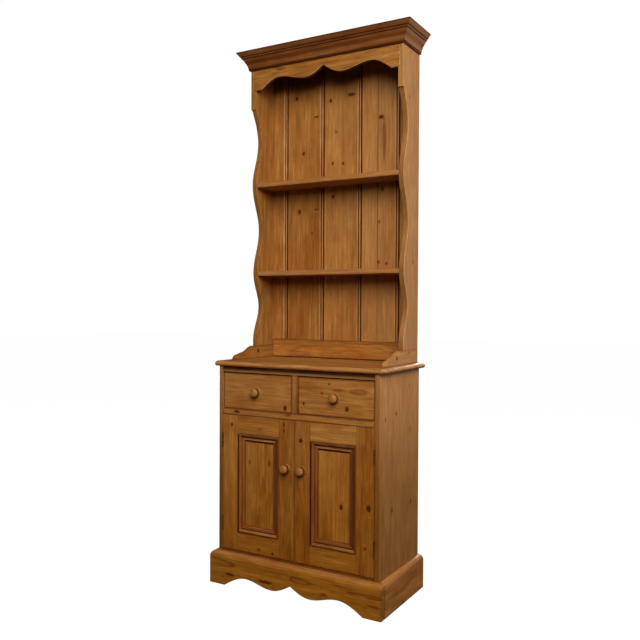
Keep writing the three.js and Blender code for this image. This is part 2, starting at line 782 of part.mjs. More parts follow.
function cornice_return() {
  const mitre_gap = joint_gap * Math.SQRT2;
  const front = cornice_section().map(([out, up]) =>
    new THREE.Vector3(cornice_seat + out, cornice_front_seat - out + mitre_gap, cornice_underside + up));
  return lofted([front, front.map((point) => new THREE.Vector3(point.x, carcass_depth, point.z))]);
}

// Case pieces
for (const { name, sign } of sides) {
  add(`carcass_side_${name}`, placed(carcass_side(hinge_heights), sign), pine);
  add(`plinth_side_${name}`, placed(plinth_side(), sign), pine);
}
add('plinth_front', plinth_front(), pine);
add('worktop', worktop(), pine);
add('top_rail', cross_board(0, rail_depth, drawer_opening_top, worktop_underside - joint_gap), pine);
add('mid_rail', cross_board(0, rail_depth, door_opening_top, deck_height), pine);
const inner_back = case_back_front - joint_gap;
const deck_low = deck_height - deck_thickness;
add('drawer_deck', cross_board(rail_depth + joint_gap, inner_back, deck_low, deck_height), bare_pine);
const partition_low = [-partition_thickness / 2, 0, deck_height + joint_gap];
const partition_high = [partition_thickness / 2, inner_back, drawer_opening_top - joint_gap];
add('drawer_partition', board(partition_low, partition_high), pine);
const floor_low = cupboard_floor_height - bottom_board_thickness;
add('cupboard_floor', cross_board(0, inner_back, floor_low, cupboard_floor_height), pine);
const shelf_low = cupboard_shelf_height - cupboard_shelf_thickness;
const cupboard_shelf = cross_board(cupboard_shelf_setback, inner_back, shelf_low, cupboard_shelf_height);
add('cupboard_shelf', cupboard_shelf, bare_pine);
const case_back_end = case_back_front + case_back_thickness;
const case_back = cross_board(case_back_front, case_back_end, floor_low, worktop_underside - joint_gap);
add('case_back', case_back, bare_pine);

// Drawers
for (const { name, sign } of sides) {
  const shift = (geometry) => geometry.translate(sign * drawer_middle, 0, 0);
  add(`drawer_${name}_front`, shift(drawer_front()), pine);
  add(`drawer_${name}_box`, shift(drawer_box()), bare_pine);
  add(`drawer_${name}_bottom`, shift(board(drawer_bottom_low, drawer_bottom_high)), bare_pine);
  add(`drawer_${name}_knob`, shift(drawer_knob()), pine);
}

// Doors and their hinges
const knuckles = Array.from({ length: knuckle_count }, (_, i) => i);
const case_knuckles = knuckles.filter((i) => i % 2 === 0);
const door_knuckles = knuckles.filter((i) => i % 2 === 1);
for (const { name, sign } of sides) {
  add(`door_${name}_hinge_stile`, placed(hinge_stile(), sign), pine);
  add(`door_${name}_meeting_stile`, placed(meeting_stile(), sign), pine);
  add(`door_${name}_bottom_rail`, placed(door_rail(rail_spans[0]), sign), pine);
  add(`door_${name}_top_rail`, placed(door_rail(rail_spans[1]), sign), pine);
  add(`door_${name}_panel`, placed(board(panel_low, panel_high), sign), pine);
  add(`door_${name}_moulding`, placed(door_moulding(), sign), red_pine);
  add(`door_${name}_knob`, placed(knob(door_knob_x, door_knob_height, door_thickness), sign), pine);
  hinge_heights.forEach((middle, i) => {
    const place = ['lower', 'upper'][i];
    add(`hinge_${name}_${place}_case_leaf`, placed(hinge_leaf(1, middle, case_knuckles, true), sign), brass);
    add(`hinge_${name}_${place}_door_leaf`, placed(hinge_leaf(-1, middle, door_knuckles, false), sign), brass);
  });
}

// Rack pieces
for (const { name, sign } of sides) {
  add(`rack_foot_${name}`, placed(rack_foot(), sign), pine);
  add(`rack_side_${name}`, placed(rack_side(), sign), pine);
  add(`cornice_${name}`, placed(cornice_return(), sign), red_pine);
}
add('cornice_front', cornice_front(), red_pine);
add('rack_apron', rack_apron(), pine);
add('rack_shelf_lower', rack_shelf(shelf_lower_height, shelf_lower_setback), pine);
add('rack_shelf_upper', rack_shelf(shelf_upper_height, shelf_upper_setback), pine);
const lid_low = rack_side_top + joint_gap;
const lid = board([-rack_half, rack_front, lid_low], [rack_half, carcass_depth, lid_low + rack_top_thickness]);
add('rack_top', lid, bare_pine);
const rail_reach = rack_inner_half - joint_gap;
const back_rail_low = [-rail_reach, rack_back_front - rack_rail_proud, worktop_height + joint_gap];
const back_rail_top = worktop_height + joint_gap + rack_rail_height;
const back_rail_high = [rail_reach, rack_back_front + rack_back_thickness, back_rail_top];
add('rack_back_rail', board(back_rail_low, back_rail_high), pine);
const joint_places = [0, ...board_joint_shares, 1].map((share) => (2 * share - 1) * rack_inner_half);
joint_places.slice(1).forEach((right, i) => {
  const chamfered = i > 0;
  const beaded = i < board_joint_shares.length;
  const x0 = joint_places[i] + joint_gap / 2;
  const x1 = right - joint_gap / 2;
  add(`rack_back_board_${i + 1}`, back_board(x0, x1, chamfered, beaded), pine);
});

export default dresser;
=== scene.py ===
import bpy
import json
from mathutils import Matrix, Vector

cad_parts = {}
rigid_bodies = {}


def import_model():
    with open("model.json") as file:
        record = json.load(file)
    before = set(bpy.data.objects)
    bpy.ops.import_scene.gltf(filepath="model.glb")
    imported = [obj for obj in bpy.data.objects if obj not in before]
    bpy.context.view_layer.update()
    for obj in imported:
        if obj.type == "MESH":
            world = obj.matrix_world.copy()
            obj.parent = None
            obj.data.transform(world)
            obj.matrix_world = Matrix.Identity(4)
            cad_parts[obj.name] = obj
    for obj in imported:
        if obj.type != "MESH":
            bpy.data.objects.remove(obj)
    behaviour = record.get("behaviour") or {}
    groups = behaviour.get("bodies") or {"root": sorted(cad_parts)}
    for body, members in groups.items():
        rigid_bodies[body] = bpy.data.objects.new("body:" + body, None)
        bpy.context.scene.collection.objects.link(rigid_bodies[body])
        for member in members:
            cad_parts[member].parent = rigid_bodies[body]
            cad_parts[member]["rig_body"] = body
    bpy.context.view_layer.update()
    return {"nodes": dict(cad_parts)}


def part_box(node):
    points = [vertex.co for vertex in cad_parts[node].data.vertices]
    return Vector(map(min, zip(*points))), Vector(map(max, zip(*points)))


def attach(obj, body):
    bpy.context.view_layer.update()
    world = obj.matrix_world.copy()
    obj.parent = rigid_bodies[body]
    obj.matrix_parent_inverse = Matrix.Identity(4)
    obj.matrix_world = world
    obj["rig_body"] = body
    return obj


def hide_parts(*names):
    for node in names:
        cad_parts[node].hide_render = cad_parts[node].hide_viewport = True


bl_info = {
    "name": "Pine Dresser",
    "version": (1, 0, 0),
    "blender": (4, 5, 0),
    "location": "3D View > Sidebar > Dresser",
    "description": "Builds the finished pieces of a narrow pine dresser round its packed frame",
    "category": "Add Mesh",
}

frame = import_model()

import json
import math
import random

import bmesh
import bpy
from mathutils import Matrix, Vector, noise

MM = 0.001
SIDES = (("left", -1), ("right", 1))
UP = Vector((0, 0, 1))
FINISHES = {"pine": "Waxed pine", "red_pine": "Stained pine", "bare_pine": "Bare pine", "brass": "Old brass"}


def srgb(red, green, blue):
    """A colour given as it shows on a screen, from 0 to 255, as the linear light that a finish works in."""
    def linear(value):
        share = value / 255
        return share / 12.92 if share <= 0.04045 else ((share + 0.055) / 1.055) ** 2.4
    return (linear(red), linear(green), linear(blue), 1.0)


# Places in the photograph
# Knots, pins and stains are placed where the photograph shows them, in its 640 by 640 pixels: across, down,
# radius in millimetres, how many times longer along the grain than across it, and how dark from 0 to 1.
# Before them stand the axis that the marked face is square to, and 1 where it lies at the far end of it.
FRONT = (1, 0)
RIGHT = (0, 1)
MARKS = {
    "rack_back_board_1": (FRONT, ((271.9, 132.4, 6, 2.4, 0.9), (265.5, 114.7, 6, 1.6, 0.6))),
    "rack_back_board_2": (FRONT, (
        (297.0, 98.8, 6, 1.3, 1.0), (316.5, 116.9, 9, 0.4, 1.0), (303.7, 153.7, 6, 1.4, 0.9),
        (299.6, 212.0, 8, 1.3, 0.9), (316.3, 209.6, 9, 0.4, 0.9), (312.1, 233.3, 4, 1.5, 0.6),
    )),
    "rack_back_board_3": (FRONT, (
        (330.8, 100.7, 6, 1.3, 1.0), (351.5, 94.5, 16, 0.4, 0.9), (336.0, 131.8, 4, 1.3, 0.9),
        (332.7, 163.6, 5, 1.5, 0.9), (343.1, 163.4, 5, 1.4, 0.9), (333.0, 196.8, 6, 1.4, 0.9),
    )),
    "rack_back_board_4": (FRONT, (
        (381.4, 116.8, 11, 0.7, 1.0), (384.2, 140.0, 7, 11.0, 0.5), (382.4, 189.2, 6, 1.4, 0.9),
        (379.1, 221.8, 4, 1.3, 0.8), (378.3, 262.2, 5, 1.3, 0.8), (386.3, 263.6, 5, 1.3, 0.8),
        (377.8, 180.0, 2, 320.0, 0.5),
    )),
    "drawer_left_front": (FRONT, ((284.9, 408.4, 10, 0.75, 1.0),)),
    "drawer_right_front": (FRONT, (
        (303.7, 403.4, 6, 0.8, 0.9), (346.9, 409.4, 9, 0.8, 0.95), (321.8, 393.2, 4, 1.0, 0.9),
        (329.0, 384.3, 3, 1.2, 0.9),
    )),
    "mid_rail": (FRONT, ((236.8, 411.6, 5, 2.6, 1.0), (288.0, 415.2, 5, 2.6, 0.6))),
    "door_right_meeting_stile": (FRONT, ((300.7, 440.6, 7, 1.1, 1.0),)),
    "door_left_meeting_stile": (FRONT, ((283.9, 425.0, 4, 2.4, 0.8), (284.1, 430.9, 4, 1.6, 0.8))),
    "door_left_top_rail": (FRONT, ((260.1, 429.5, 4, 1.3, 0.7),)),
    "door_left_bottom_rail": (FRONT, ((258.5, 549.8, 5, 1.5, 0.7), (272.4, 553.9, 5, 1.1, 1.0))),
    "door_left_panel": (FRONT, ((249.7, 461.9, 5, 1.8, 0.6), (269.2, 463.4, 5, 2.2, 0.6))),
    "door_right_panel": (FRONT, ((341.1, 507.4, 7, 1.4, 1.0),)),
    "door_right_hinge_stile": (FRONT, ((368.6, 508.6, 9, 1.3, 0.95), (365.0, 549.2, 5, 1.2, 0.7))),
    "carcass_side_right": (RIGHT, (
        (396.4, 413.8, 5, 1.1, 1.0), (385.7, 420.0, 5, 1.6, 0.6), (391.8, 510.2, 7, 1.5, 0.6),
        (410.6, 501.4, 6, 1.5, 0.6), (410.0, 429.0, 5, 2.0, 0.4), (409.4, 386.0, 5, 2.0, 0.4),
    )),
    "rack_foot_left": (RIGHT, ((258.2, 350.7, 7, 0.8, 1.0),)),
    "rack_foot_right": (RIGHT, ((396.9, 358.6, 6, 0.9, 1.0), (409.0, 352.5, 5, 1.2, 0.6))),
    "plinth_front": (FRONT, (
        (229.6, 574.4, 5, 4.0, 0.9), (264.7, 582.1, 6, 5.5, 0.9), (323.5, 594.9, 5, 3.0, 0.6),
        (374.0, 607.5, 4, 6.0, 0.6), (338.0, 586.5, 3, 9.0, 0.4),
    )),
    "plinth_side_right": (RIGHT, ((412.0, 577.2, 4, 1.0, 1.0), (402.9, 602.2, 5, 1.6, 0.9))),
    "rack_side_right": (RIGHT, ((413.0, 262.0, 5, 1.6, 0.6), (410.0, 97.0, 5, 1.6, 0.5))),
    "rack_apron": (FRONT, ((300.0, 66.0, 16, 1.8, 0.12), (392.0, 52.0, 12, 1.6, 0.12))),
}
MARKS_PER_PIECE = 7
# Other pieces have about one knot to this area in square metres, set by chance, but for those that are clear.
# Such a knot's radius in millimetres, its length to its width and its darkness lie between these.
KNOT_AREA = 0.05
CHANCE_KNOT = ((3, 6), (1.1, 1.7), (0.6, 1))
CLEAR = ("cornice", "rack_shelf", "worktop", "top_rail", "rack_back_rail", "rack_side_left")
# Where a piece has fewer knots than the finish reads, the others lie this many radii away
FAR_AWAY = 100.0

# Tone of each kind of piece: brightness, how far it leans to red, how strongly its growth rings show, how
# pale age and rubbing and, on the case's sides, the rack's right side and foot and the back boards, a painted
# sheen have made it, how much old wax and painted shade lie along its edges, how closely its rings lie, and
# how dark its sawn edges are
TONES = (
    ("knob", 0.76, 0.1, 0.4, 0.0, 0.0, 1.0, 0.0),
    ("moulding", 1.2, 0.1, 0.4, 0.0, 0.0, 1.0, 0.0),
    ("cornice_front", 0.81, 0.1, 0.7, 0.0, 0.0, 0.7, 0.0),
    ("cornice", 1.09, 0.0, 0.7, 0.1, 0.0, 0.7, 0.0),
    ("rack_back_board_1", 0.83, 0.0, 0.7, 0.04, 0.0, 0.6, 0.3),
    ("rack_back_board_2", 0.88, 0.25, 0.7, 0.02, 0.0, 0.55, 0.3),
    ("rack_back_board_3", 0.9, 0.2, 0.7, 0.08, 0.0, 0.5, 0.3),
    ("rack_back_board", 0.97, 0.15, 0.7, 0.18, 0.0, 0.6, 0.3),
    ("rack_back_rail", 0.96, 0.1, 1.1, 0.0, 0.6, 0.6, 0.0),
    ("rack_side_left", 0.7, -0.3, 0.8, 0.05, 0.2, 0.7, 0.3),
    ("rack_side_right", 0.96, 0.15, 0.7, 0.22, 0.1, 0.7, 0.75),
    ("rack_foot_left", 0.62, 0.2, 1.0, 0.05, 0.4, 0.7, 0.3),
    ("rack_foot", 1.0, 0.2, 1.2, 0.2, 0.3, 0.7, 0.3),
    ("rack_shelf", 0.94, 0.35, 0.6, 0.16, 0.3, 0.8, 0.0),
    ("rack_apron", 0.78, 0.1, 1.6, 0.0, 0.3, 1.5, 1.2),
    ("worktop", 0.89, 0.15, 1.8, 0.04, 0.2, 0.25, 0.1),
    ("drawer_left", 0.94, 0.1, 0.6, 0.06, 0.8, 0.6, 0.0),
    ("drawer_right", 0.93, 0.15, 1.2, 0.0, 0.8, 0.6, 0.0),
    ("drawer_partition", 0.85, 0.3, 0.5, 0.06, 0.6, 0.8, 0.0),
    ("meeting_stile", 0.82, 0.25, 0.8, 0.0, 0.15, 0.7, 0.0),
    ("door_left_hinge_stile", 1.04, 0.3, 0.8, 0.04, 0.15, 0.7, 0.0),
    ("door_right_hinge_stile", 0.88, 0.35, 0.9, 0.0, 0.15, 0.7, 0.0),
    ("door_left_top_rail", 1.02, 0.3, 0.8, 0.04, 0.15, 0.6, 0.0),
    ("door_right_top_rail", 1.08, 0.15, 1.0, 0.04, 0.15, 0.6, 0.0),
    ("panel", 1.02, 0.15, 0.6, 0.0, 0.0, 0.6, 0.0),
    ("door", 0.97, 0.2, 0.9, 0.0, 0.15, 0.6, 0.0),
    ("plinth_side", 1.2, 0.2, 1.1, 0.03, 0.5, 0.6, 0.2),
    ("plinth", 1.12, 0.2, 1.3, 0.0, 0.4, 0.8, 0.35),
    ("cupboard_floor", 0.5, 0.4, 0.4, 0.0, 0.8, 0.9, 0.0),
    ("carcass_side", 0.97, 0.2, 0.7, 0.22, 0.2, 0.7, 0.55),
    ("top_rail", 0.55, 0.1, 0.4, 0.4, 0.0, 1.0, 0.0),
    ("mid_rail", 0.92, 0.2, 0.8, 0.1, 0.6, 0.7, 0.0),
    ("", 1.0, 0.2, 0.5, 0.0, 0.3, 1.0, 0.0),
)

# How far the rings of these boards sway in and out along their length, which draws them out into flames
FLAMES = {
    "rack_apron": 16 * MM, "worktop": 45 * MM, "rack_back_rail": 30 * MM, "plinth_front": 20 * MM,
    "drawer_right_front": 22 * MM, "door_right_top_rail": 10 * MM, "rack_foot_right": 30 * MM,
}
# Painted light on the case's sides, brighter toward their top, by height in metres
SIDE_LIGHT_BY_HEIGHT = ((0.0, 0.8), (0.38, 0.79), (0.47, 0.86), (0.56, 0.98), (0.65, 1.07), (0.8, 1.14))
# How dark the apron's painted shadow makes each back board from the left, and the painted light and old wax
# on each joint
BOARD_SHADOW = (1.0, 1.0, 0.8, 0.55, 0.55)
JOINT_SLOPE_LIGHT = (0.5, 0.0, -0.1, -0.1)
# Painted shadow of the worktop with old wax and dust on the top rail, by distance down from the worktop, and
# painted shade with old wax on the back rail, by distance up
TOP_RAIL_SHADE_AND_WAX = ((0.0, -1.0), (10 * MM, -1.0), (13 * MM, -0.55), (16 * MM, -0.15), (60 * MM, -0.15))
BACK_RAIL_SHADE_AND_WAX = ((0.0, -1.0), (3 * MM, -0.9), (6 * MM, -0.2), (9 * MM, 0.0), (90 * MM, 0.0), (200 * MM, 0.0))
# A board's place in its log, by chance: how far along it the board lies, how far the log's heart lies off the
# board's middle as a share of its half width, how far over the board, and how far the heart leans
HEART_ALONG = (2, 40)
HEART_ACROSS = 0.7
HEART_OVER = (0.022, 0.06)
HEART_LEAN = 0.035
# How far boards of one kind differ in brightness and in red
BRIGHT_SPREAD = (0.97, 1.03)
RED_SPREAD = 0.1
# Depth of the scalloped front edge of the rack's sides, and how much of their edges' darkness it shows
FRONT_EDGE = 2 * MM
FRONT_EDGE_DARK = 0.5


# Settings in the sidebar
def length(name, description, default):
    """A length in metres."""
    return bpy.props.FloatProperty(name=name, description=description, default=default, unit="LENGTH")


def number(name, description, default, least):
    """A whole number with its least value."""
    return bpy.props.IntProperty(name=name, description=description, default=default, min=least)


def tint(name, description, red, green, blue):
    """A colour, given as it shows on a screen."""
    return bpy.props.FloatVectorProperty(
        name=name, description=description, default=srgb(red, green, blue), subtype="COLOR", size=4)


def watts(name, description, default):
    """The power of a light."""
    return bpy.props.FloatProperty(name=name, description=description, default=default, unit="POWER")


class DresserSizes(bpy.types.PropertyGroup):
    """Sizes of the worked edges and mouldings, which the boards' own sizes don't fix."""

    arris: length("Arris", "Width of the eased edges of a board", 1.2 * MM)
    fine_arris: length("Fine arris", "Width of the eased edges at a flush joint", 0.5 * MM)
    flush_arris: length("Flush arris", "Width of the eased edges where rails meet a door's stiles", 0.2 * MM)
    wear: length("Wear", "Deepest hollow that use has worn into an edge", 0.5 * MM)
    wear_length: length("Wear length", "Distance between two slices along a worn edge", 45 * MM)
    curve_steps: number("Curve steps", "Steps between two points of a sawn curve", 5, 1)
    round_steps: number("Round steps", "Steps in a quarter of a moulded round", 10, 2)
    turned_sides: number("Turned sides", "Sides of a turned knob", 64, 8)
    worktop_corner: length("Worktop corner", "Radius of the worktop's front corners", 18 * MM)
    worktop_edge_width: length("Worktop edge width", "How far the thumbnail edge reaches in", 13 * MM)
    worktop_edge_height: length("Worktop edge height", "How far the thumbnail edge falls", 12.5 * MM)
    worktop_undercut: length("Worktop undercut", "How far the underside stands in from the nose", 3 * MM)
    plinth_round: length("Plinth round", "Radius of the plinth's upper edge", 18 * MM)
    board_bead: length("Board bead", "Radius of the bead on the rack's back boards", 3.5 * MM)
    quirk_width: length("Quirk width", "Width of the sharp groove beside that bead", 4 * MM)
    quirk_depth: length("Quirk depth", "Depth of the sharp groove beside that bead", 4.5 * MM)
    slope_width: length("Slope width", "Width of the board's slope down to the groove", 6 * MM)
    slope_depth: length("Slope depth", "Fall of that slope", 2.5 * MM)
    chamfer_width: length("Chamfer width", "Width of the chamfer on the next board's edge", 6 * MM)
    chamfer_depth: length("Chamfer depth", "Depth of that chamfer", 3 * MM)
    moulding_width: length("Moulding width", "Width of the moulding round a door's panel", 27 * MM)
    moulding_bead: length("Moulding bead", "Width of the moulding's outer bead", 5 * MM)
    moulding_slope_foot: length("Moulding slope foot", "Height where the hollow slope ends", 3.5 * MM)
    moulding_inner_width: length("Inner bead width", "Width of the moulding's inner bead", 4 * MM)
    moulding_inner_height: length("Inner bead height", "Height of the inner bead over the panel", 4.8 * MM)
    moulding_fillet: length("Moulding fillet", "Width of the thin flat strip inside the moulding", 2.2 * MM)
    moulding_strip: length("Moulding strip", "Thickness of that strip", 0.3 * MM)
    moulding_quirk: length("Moulding quirk", "Depth of the fine groove along the moulding's slope", 1.2 * MM)
    moulding_lip: length("Moulding lip", "Height of the moulding's inner foot", 1.5 * MM)
    cornice_bead: length("Cornice bead", "Radius of the bead at the cornice's foot", 3 * MM)
    side_round: length("Side round", "Round on the front edges of the rack's sides", 2 * MM)
    screw_head: length("Screw head", "Radius of the hinge screws' heads", 3.2 * MM)


class DresserColours(bpy.types.PropertyGroup):
    """Colours of the waxed pine, the stained mouldings and the brass."""

    honey: tint("Honey", "Soft wood of the waxed pine", 192, 132, 66)
    amber: tint("Amber", "Warmer patches of the waxed pine", 176, 107, 42)
    late_wood: tint("Late wood", "Hard dark lines of the growth rings", 108, 56, 16)
    knot: tint("Knot", "Heart of a knot", 62, 25, 6)
    # Also painted as highlights and reflections on edges, and as sheen on paler pieces
    worn: tint("Worn edge", "Pale wood where edges are worn", 214, 164, 112)
    # Also painted as shade in grooves, creases and along joints
    dark_wax_and_shade: tint("Old wax", "Dark wax left in grooves", 56, 12, 1)
    stained: tint("Stained", "Soft wood of the mouldings and cornice", 152, 92, 44)
    stained_red: tint("Stained red", "Redder patches of the mouldings and cornice", 130, 68, 28)
    bare: tint("Bare", "Unwaxed pine inside the case", 205, 162, 108)
    bare_deep: tint("Bare, deeper", "Deeper patches of the unwaxed pine", 186, 138, 84)
    brass: tint("Brass", "Tarnished brass of the hinges", 120, 84, 40)


class DresserStage(bpy.types.PropertyGroup):
    """Floor, lights and camera."""

    floor_size: length("Floor size", "Width and depth of the floor", 40.0)
    floor_colour: bpy.props.FloatVectorProperty(
        name="Floor colour", description="Colour of the plain floor", subtype="COLOR", size=4,
        default=(0.08, 0.08, 0.08, 1.0))
    floor_glow: bpy.props.FloatProperty(
        name="Floor glow", description="Even paleness that the floor shows to the camera alone",
        default=0.985)
    sky_power: bpy.props.FloatProperty(
        name="Sky strength", description="Strength of the even light from all round", default=0.035)
    key_power: watts("Key strength", "Power of the broad light before the front", 148.0)
    side_power: watts("Side strength", "Power of the light beside the right end", 40.0)
    veil_power: watts("Veil strength", "Power of the dim panel that the right side reflects", 9.0)
    back_power: watts("Back strength", "Power of the panel of light behind", 80.0)
    left_power: watts("Left strength", "Power of the low light beside the left end", 50.0)
    camera_place: bpy.props.FloatVectorProperty(
        name="Camera place", description="Where the camera stands", subtype="TRANSLATION", size=3,
        default=(1.336287, -2.278147, 0.997092))
    camera_yaw: bpy.props.FloatProperty(
        name="Camera yaw", description="Turn of the camera to the left", default=0.525956, subtype="ANGLE")
    camera_pitch: bpy.props.FloatProperty(
        name="Camera pitch", description="Tilt of the camera upward", default=-0.017213, subtype="ANGLE")
    camera_roll: bpy.props.FloatProperty(
        name="Camera roll", description="Roll of the camera", default=0.004866, subtype="ANGLE")
    focal_pixels: bpy.props.FloatProperty(
        name="Focal length in pixels", description="Focal length in pixels of a 640 pixel picture",
        default=738.2576)


SENSOR_WIDTH = 36.0
PICTURE_PIXELS = 640


# Camera geometry
def camera_axes(stage):
    """Right, up and forward of the camera as unit vectors."""
    yaw, pitch, roll = stage.camera_yaw, stage.camera_pitch, stage.camera_roll
    forward = Vector((-math.sin(yaw) * math.cos(pitch), math.cos(yaw) * math.cos(pitch), math.sin(pitch)))
    level = Vector((math.cos(yaw), math.sin(yaw), 0))
    above = level.cross(forward)
    right = level * math.cos(roll) + above * math.sin(roll)
    up = above * math.cos(roll) - level * math.sin(roll)
    return right, up, forward


def seen_at(across, down, axis, level):
    """The point of a plane square to an axis that shows at a pixel of the photograph."""
    stage = bpy.context.scene.dresser_stage
    right, up, forward = camera_axes(stage)
    middle = PICTURE_PIXELS / 2
    aside = (across - middle) / stage.focal_pixels
    above = (middle - down) / stage.focal_pixels
    ray = forward + right * aside + up * above
    eye = Vector(stage.camera_place)
    return eye + ray * ((level - eye[axis]) / ray[axis])


# Mesh tools
# Points closer than the first are joined, or than the second after a cut, and so are faces that turn less
# than the third. Then how far a flat face's points may lie off it, the shortest chord of a curve, and the
# turn in degrees from which an edge is eased
WELD = 0.01 * MM
CUT_WELD = 0.02 * MM
FLAT_SEAM = math.radians(0.5)
FACE_TOLERANCE = 0.05 * MM
SHORTEST_CHORD = 0.001 * MM
EASED_FROM = 25


def linked(name, data):
    """A new object in the scene that holds a mesh, a light or a camera."""
    ob = bpy.data.objects.new(name, data)
    bpy.context.scene.collection.objects.link(ob)
    return ob


def new_object(name, bm):
    """A new object from a worked mesh, which is used up."""
    mesh = bpy.data.meshes.new(name)
    bm.to_mesh(mesh)
    bm.free()
    return linked(name, mesh)


def welded(node):
    """A CAD solid's own faces as a new mesh, joined where the import split them."""
    bm = bmesh.new()
    bm.from_mesh(frame["nodes"][node].data)
    bmesh.ops.remove_doubles(bm, verts=bm.verts, dist=WELD)
    return bm


def without_seams(bm):
    """The same mesh, with its flat seams taken away."""
    bmesh.ops.dissolve_limit(bm, angle_limit=FLAT_SEAM, verts=bm.verts, edges=bm.edges)
    return bm


def from_node(node):
    """A CAD solid's own faces as a new mesh that is free of flat seams."""
    bm = without_seams(welded(node))
    bmesh.ops.recalc_face_normals(bm, faces=bm.faces)
    return bm


def skinned(bm, rows):
    """Joins each loop of points to the next one with faces."""
    for near, far in zip(rows, rows[1:]):
        for j, point in enumerate(near):
            following = (j + 1) % len(near)
            bm.faces.new((point, near[following], far[following], far[j]))


def lofted(loops):
    """A closed skin over loops that have as many points each."""
    bm = bmesh.new()
    rows = [[bm.verts.new(point) for point in loop] for loop in loops]
    skinned(bm, rows)
    bm.faces.new(tuple(reversed(rows[0])))
    bm.faces.new(tuple(rows[-1]))
    bmesh.ops.recalc_face_normals(bm, faces=bm.faces)
    return bm


def turned(bm, rows, sides, place, pointed=False):
    """Adds a turned solid to a mesh, from rows of radius and reach. A pointed one ends in its last row."""
    angles = [2 * math.pi * k / sides for k in range(sides)]
    loops = [
        [bm.verts.new(place(radius * math.cos(a), radius * math.sin(a), reach)) for a in angles]
        for radius, reach in (rows[:-1] if pointed else rows)]
    skinned(bm, loops)
    bm.faces.new(tuple(reversed(loops[0])))
    last = loops[-1]
    if pointed:
        tip = bm.verts.new(place(0.0, 0.0, rows[-1][1]))
        for k, point in enumerate(last):
            bm.faces.new((point, last[(k + 1) % sides], tip))
    else:
        bm.faces.new(tuple(last))
    bmesh.ops.recalc_face_normals(bm, faces=bm.faces)


def prism(outline, start, end, axis):
    """A flat outline made thick along an axis. Its points carry the other two coordinates in order."""
    def place(point, level):
        coordinates = list(point)
        coordinates.insert(axis, level)
        return Vector(coordinates)
    return lofted([[place(point, level) for point in outline] for level in (start, end)])


def block(low, high):
    """A plain block."""
    outline = [(low[0], low[1]), (high[0], low[1]), (high[0], high[1]), (low[0], high[1])]
    return prism(outline, low[2], high[2], 2)


def combined(base, tool, operation):
    """Two closed meshes joined, cut or intersected. Both are used up."""
    holders = [new_object("work", bm) for bm in (base, tool)]
    modifier = holders[0].modifiers.new("work", "BOOLEAN")
    modifier.operation = operation
    modifier.solver = "EXACT"
    modifier.object = holders[1]
    seen = holders[0].evaluated_get(bpy.context.evaluated_depsgraph_get())
    result = bmesh.new()
    result.from_mesh(seen.to_mesh())
    seen.to_mesh_clear()
    for holder in holders:
        mesh = holder.data
        bpy.data.objects.remove(holder)
        bpy.data.meshes.remove(mesh)
    return without_seams(result)


def arc(centre, radii, start, end, steps):
    """Points of an ellipse's arc between two angles in quarter turns."""
    points = []
    for i in range(steps + 1):
        angle = (start + (end - start) * i / steps) * math.pi / 2
        points.append((centre[0] + radii[0] * math.cos(angle), centre[1] + radii[1] * math.sin(angle)))
    return points


def face_outline(node, axis, level):
    """The rim of a CAD solid's flat face at a level of an axis, as a loop of the other two coordinates."""
    bm = welded(node)
    flat = {f for f in bm.faces if all(abs(v.co[axis] - level) < FACE_TOLERANCE for v in f.verts)}
    rim = [e for e in bm.edges if sum(f in flat for f in e.link_faces) == 1]
    links = {}
    for edge in rim:
        for vert in edge.verts:
            links.setdefault(vert, []).append(edge.other_vert(vert))
    first = min(links, key=lambda v: tuple(v.co))
    loop, before, now = [first], None, first
    while True:
        following = next(v for v in links[now] if v is not before)
        if following is first:
            break
        loop.append(following)
        before, now = now, following
    others = [i for i in range(3) if i != axis]
    points = [Vector((v.co[others[0]], v.co[others[1]])) for v in loop]
    bm.free()
    return points


def turn_at(points, i):
    """How sharply a loop turns at one of its points, in degrees."""
    before = points[i] - points[i - 1]
    after = points[(i + 1) % len(points)] - points[i]
    return abs(math.degrees(before.angle_signed(after, 0)))


# A sawn curve is smoothed between its points, but not where it turns more than this, in degrees, or runs on
# straight for longer than this
SHARP_CORNER = 27
STRAIGHT_RUN = 60 * MM


def fair(points, steps):
    """A loop of straight chords made into smooth curves, which keep its sharp corners and straight runs."""
    count = len(points)
    sharp = [turn_at(points, i) > SHARP_CORNER for i in range(count)]
    made = []
    for i in range(count):
        after = (i + 1) % count
        p1, p2 = points[i], points[after]
        made.append(p1)
        if (sharp[i] and sharp[after]) or (p2 - p1).length > STRAIGHT_RUN:
            continue
        p0 = p1 * 2 - p2 if sharp[i] else points[i - 1]
        p3 = p2 * 2 - p1 if sharp[after] else points[(i + 2) % count]
        made += [curve_point(p0, p1, p2, p3, step / steps) for step in range(1, steps)]
    return made


def curve_point(p0, p1, p2, p3, t):
    """A point between p1 and p2 on the smooth curve through four points that are spaced unevenly."""
    def knot_after(knot, a, b):
        return knot + math.sqrt(max((b - a).length, SHORTEST_CHORD))
    t0 = 0.0
    t1 = knot_after(t0, p0, p1)
    t2 = knot_after(t1, p1, p2)
    t3 = knot_after(t2, p2, p3)
    at = t1 + (t2 - t1) * t
    a1 = p0 * ((t1 - at) / (t1 - t0)) + p1 * ((at - t0) / (t1 - t0))
    a2 = p1 * ((t2 - at) / (t2 - t1)) + p2 * ((at - t1) / (t2 - t1))
    a3 = p2 * ((t3 - at) / (t3 - t2)) + p3 * ((at - t2) / (t3 - t2))
    b1 = a1 * ((t2 - at) / (t2 - t0)) + a2 * ((at - t0) / (t2 - t0))
    b2 = a2 * ((t3 - at) / (t3 - t1)) + a3 * ((at - t1) / (t3 - t1))
    return b1 * ((t2 - at) / (t2 - t1)) + b2 * ((at - t1) / (t2 - t1))


def cut_across(bm, place, normal):
    """Adds the edges where a plane passes through a mesh."""
    geometry = bm.verts[:] + bm.edges[:] + bm.faces[:]
    bmesh.ops.bisect_plane(bm, geom=geometry, plane_co=place, plane_no=normal, dist=CUT_WELD)


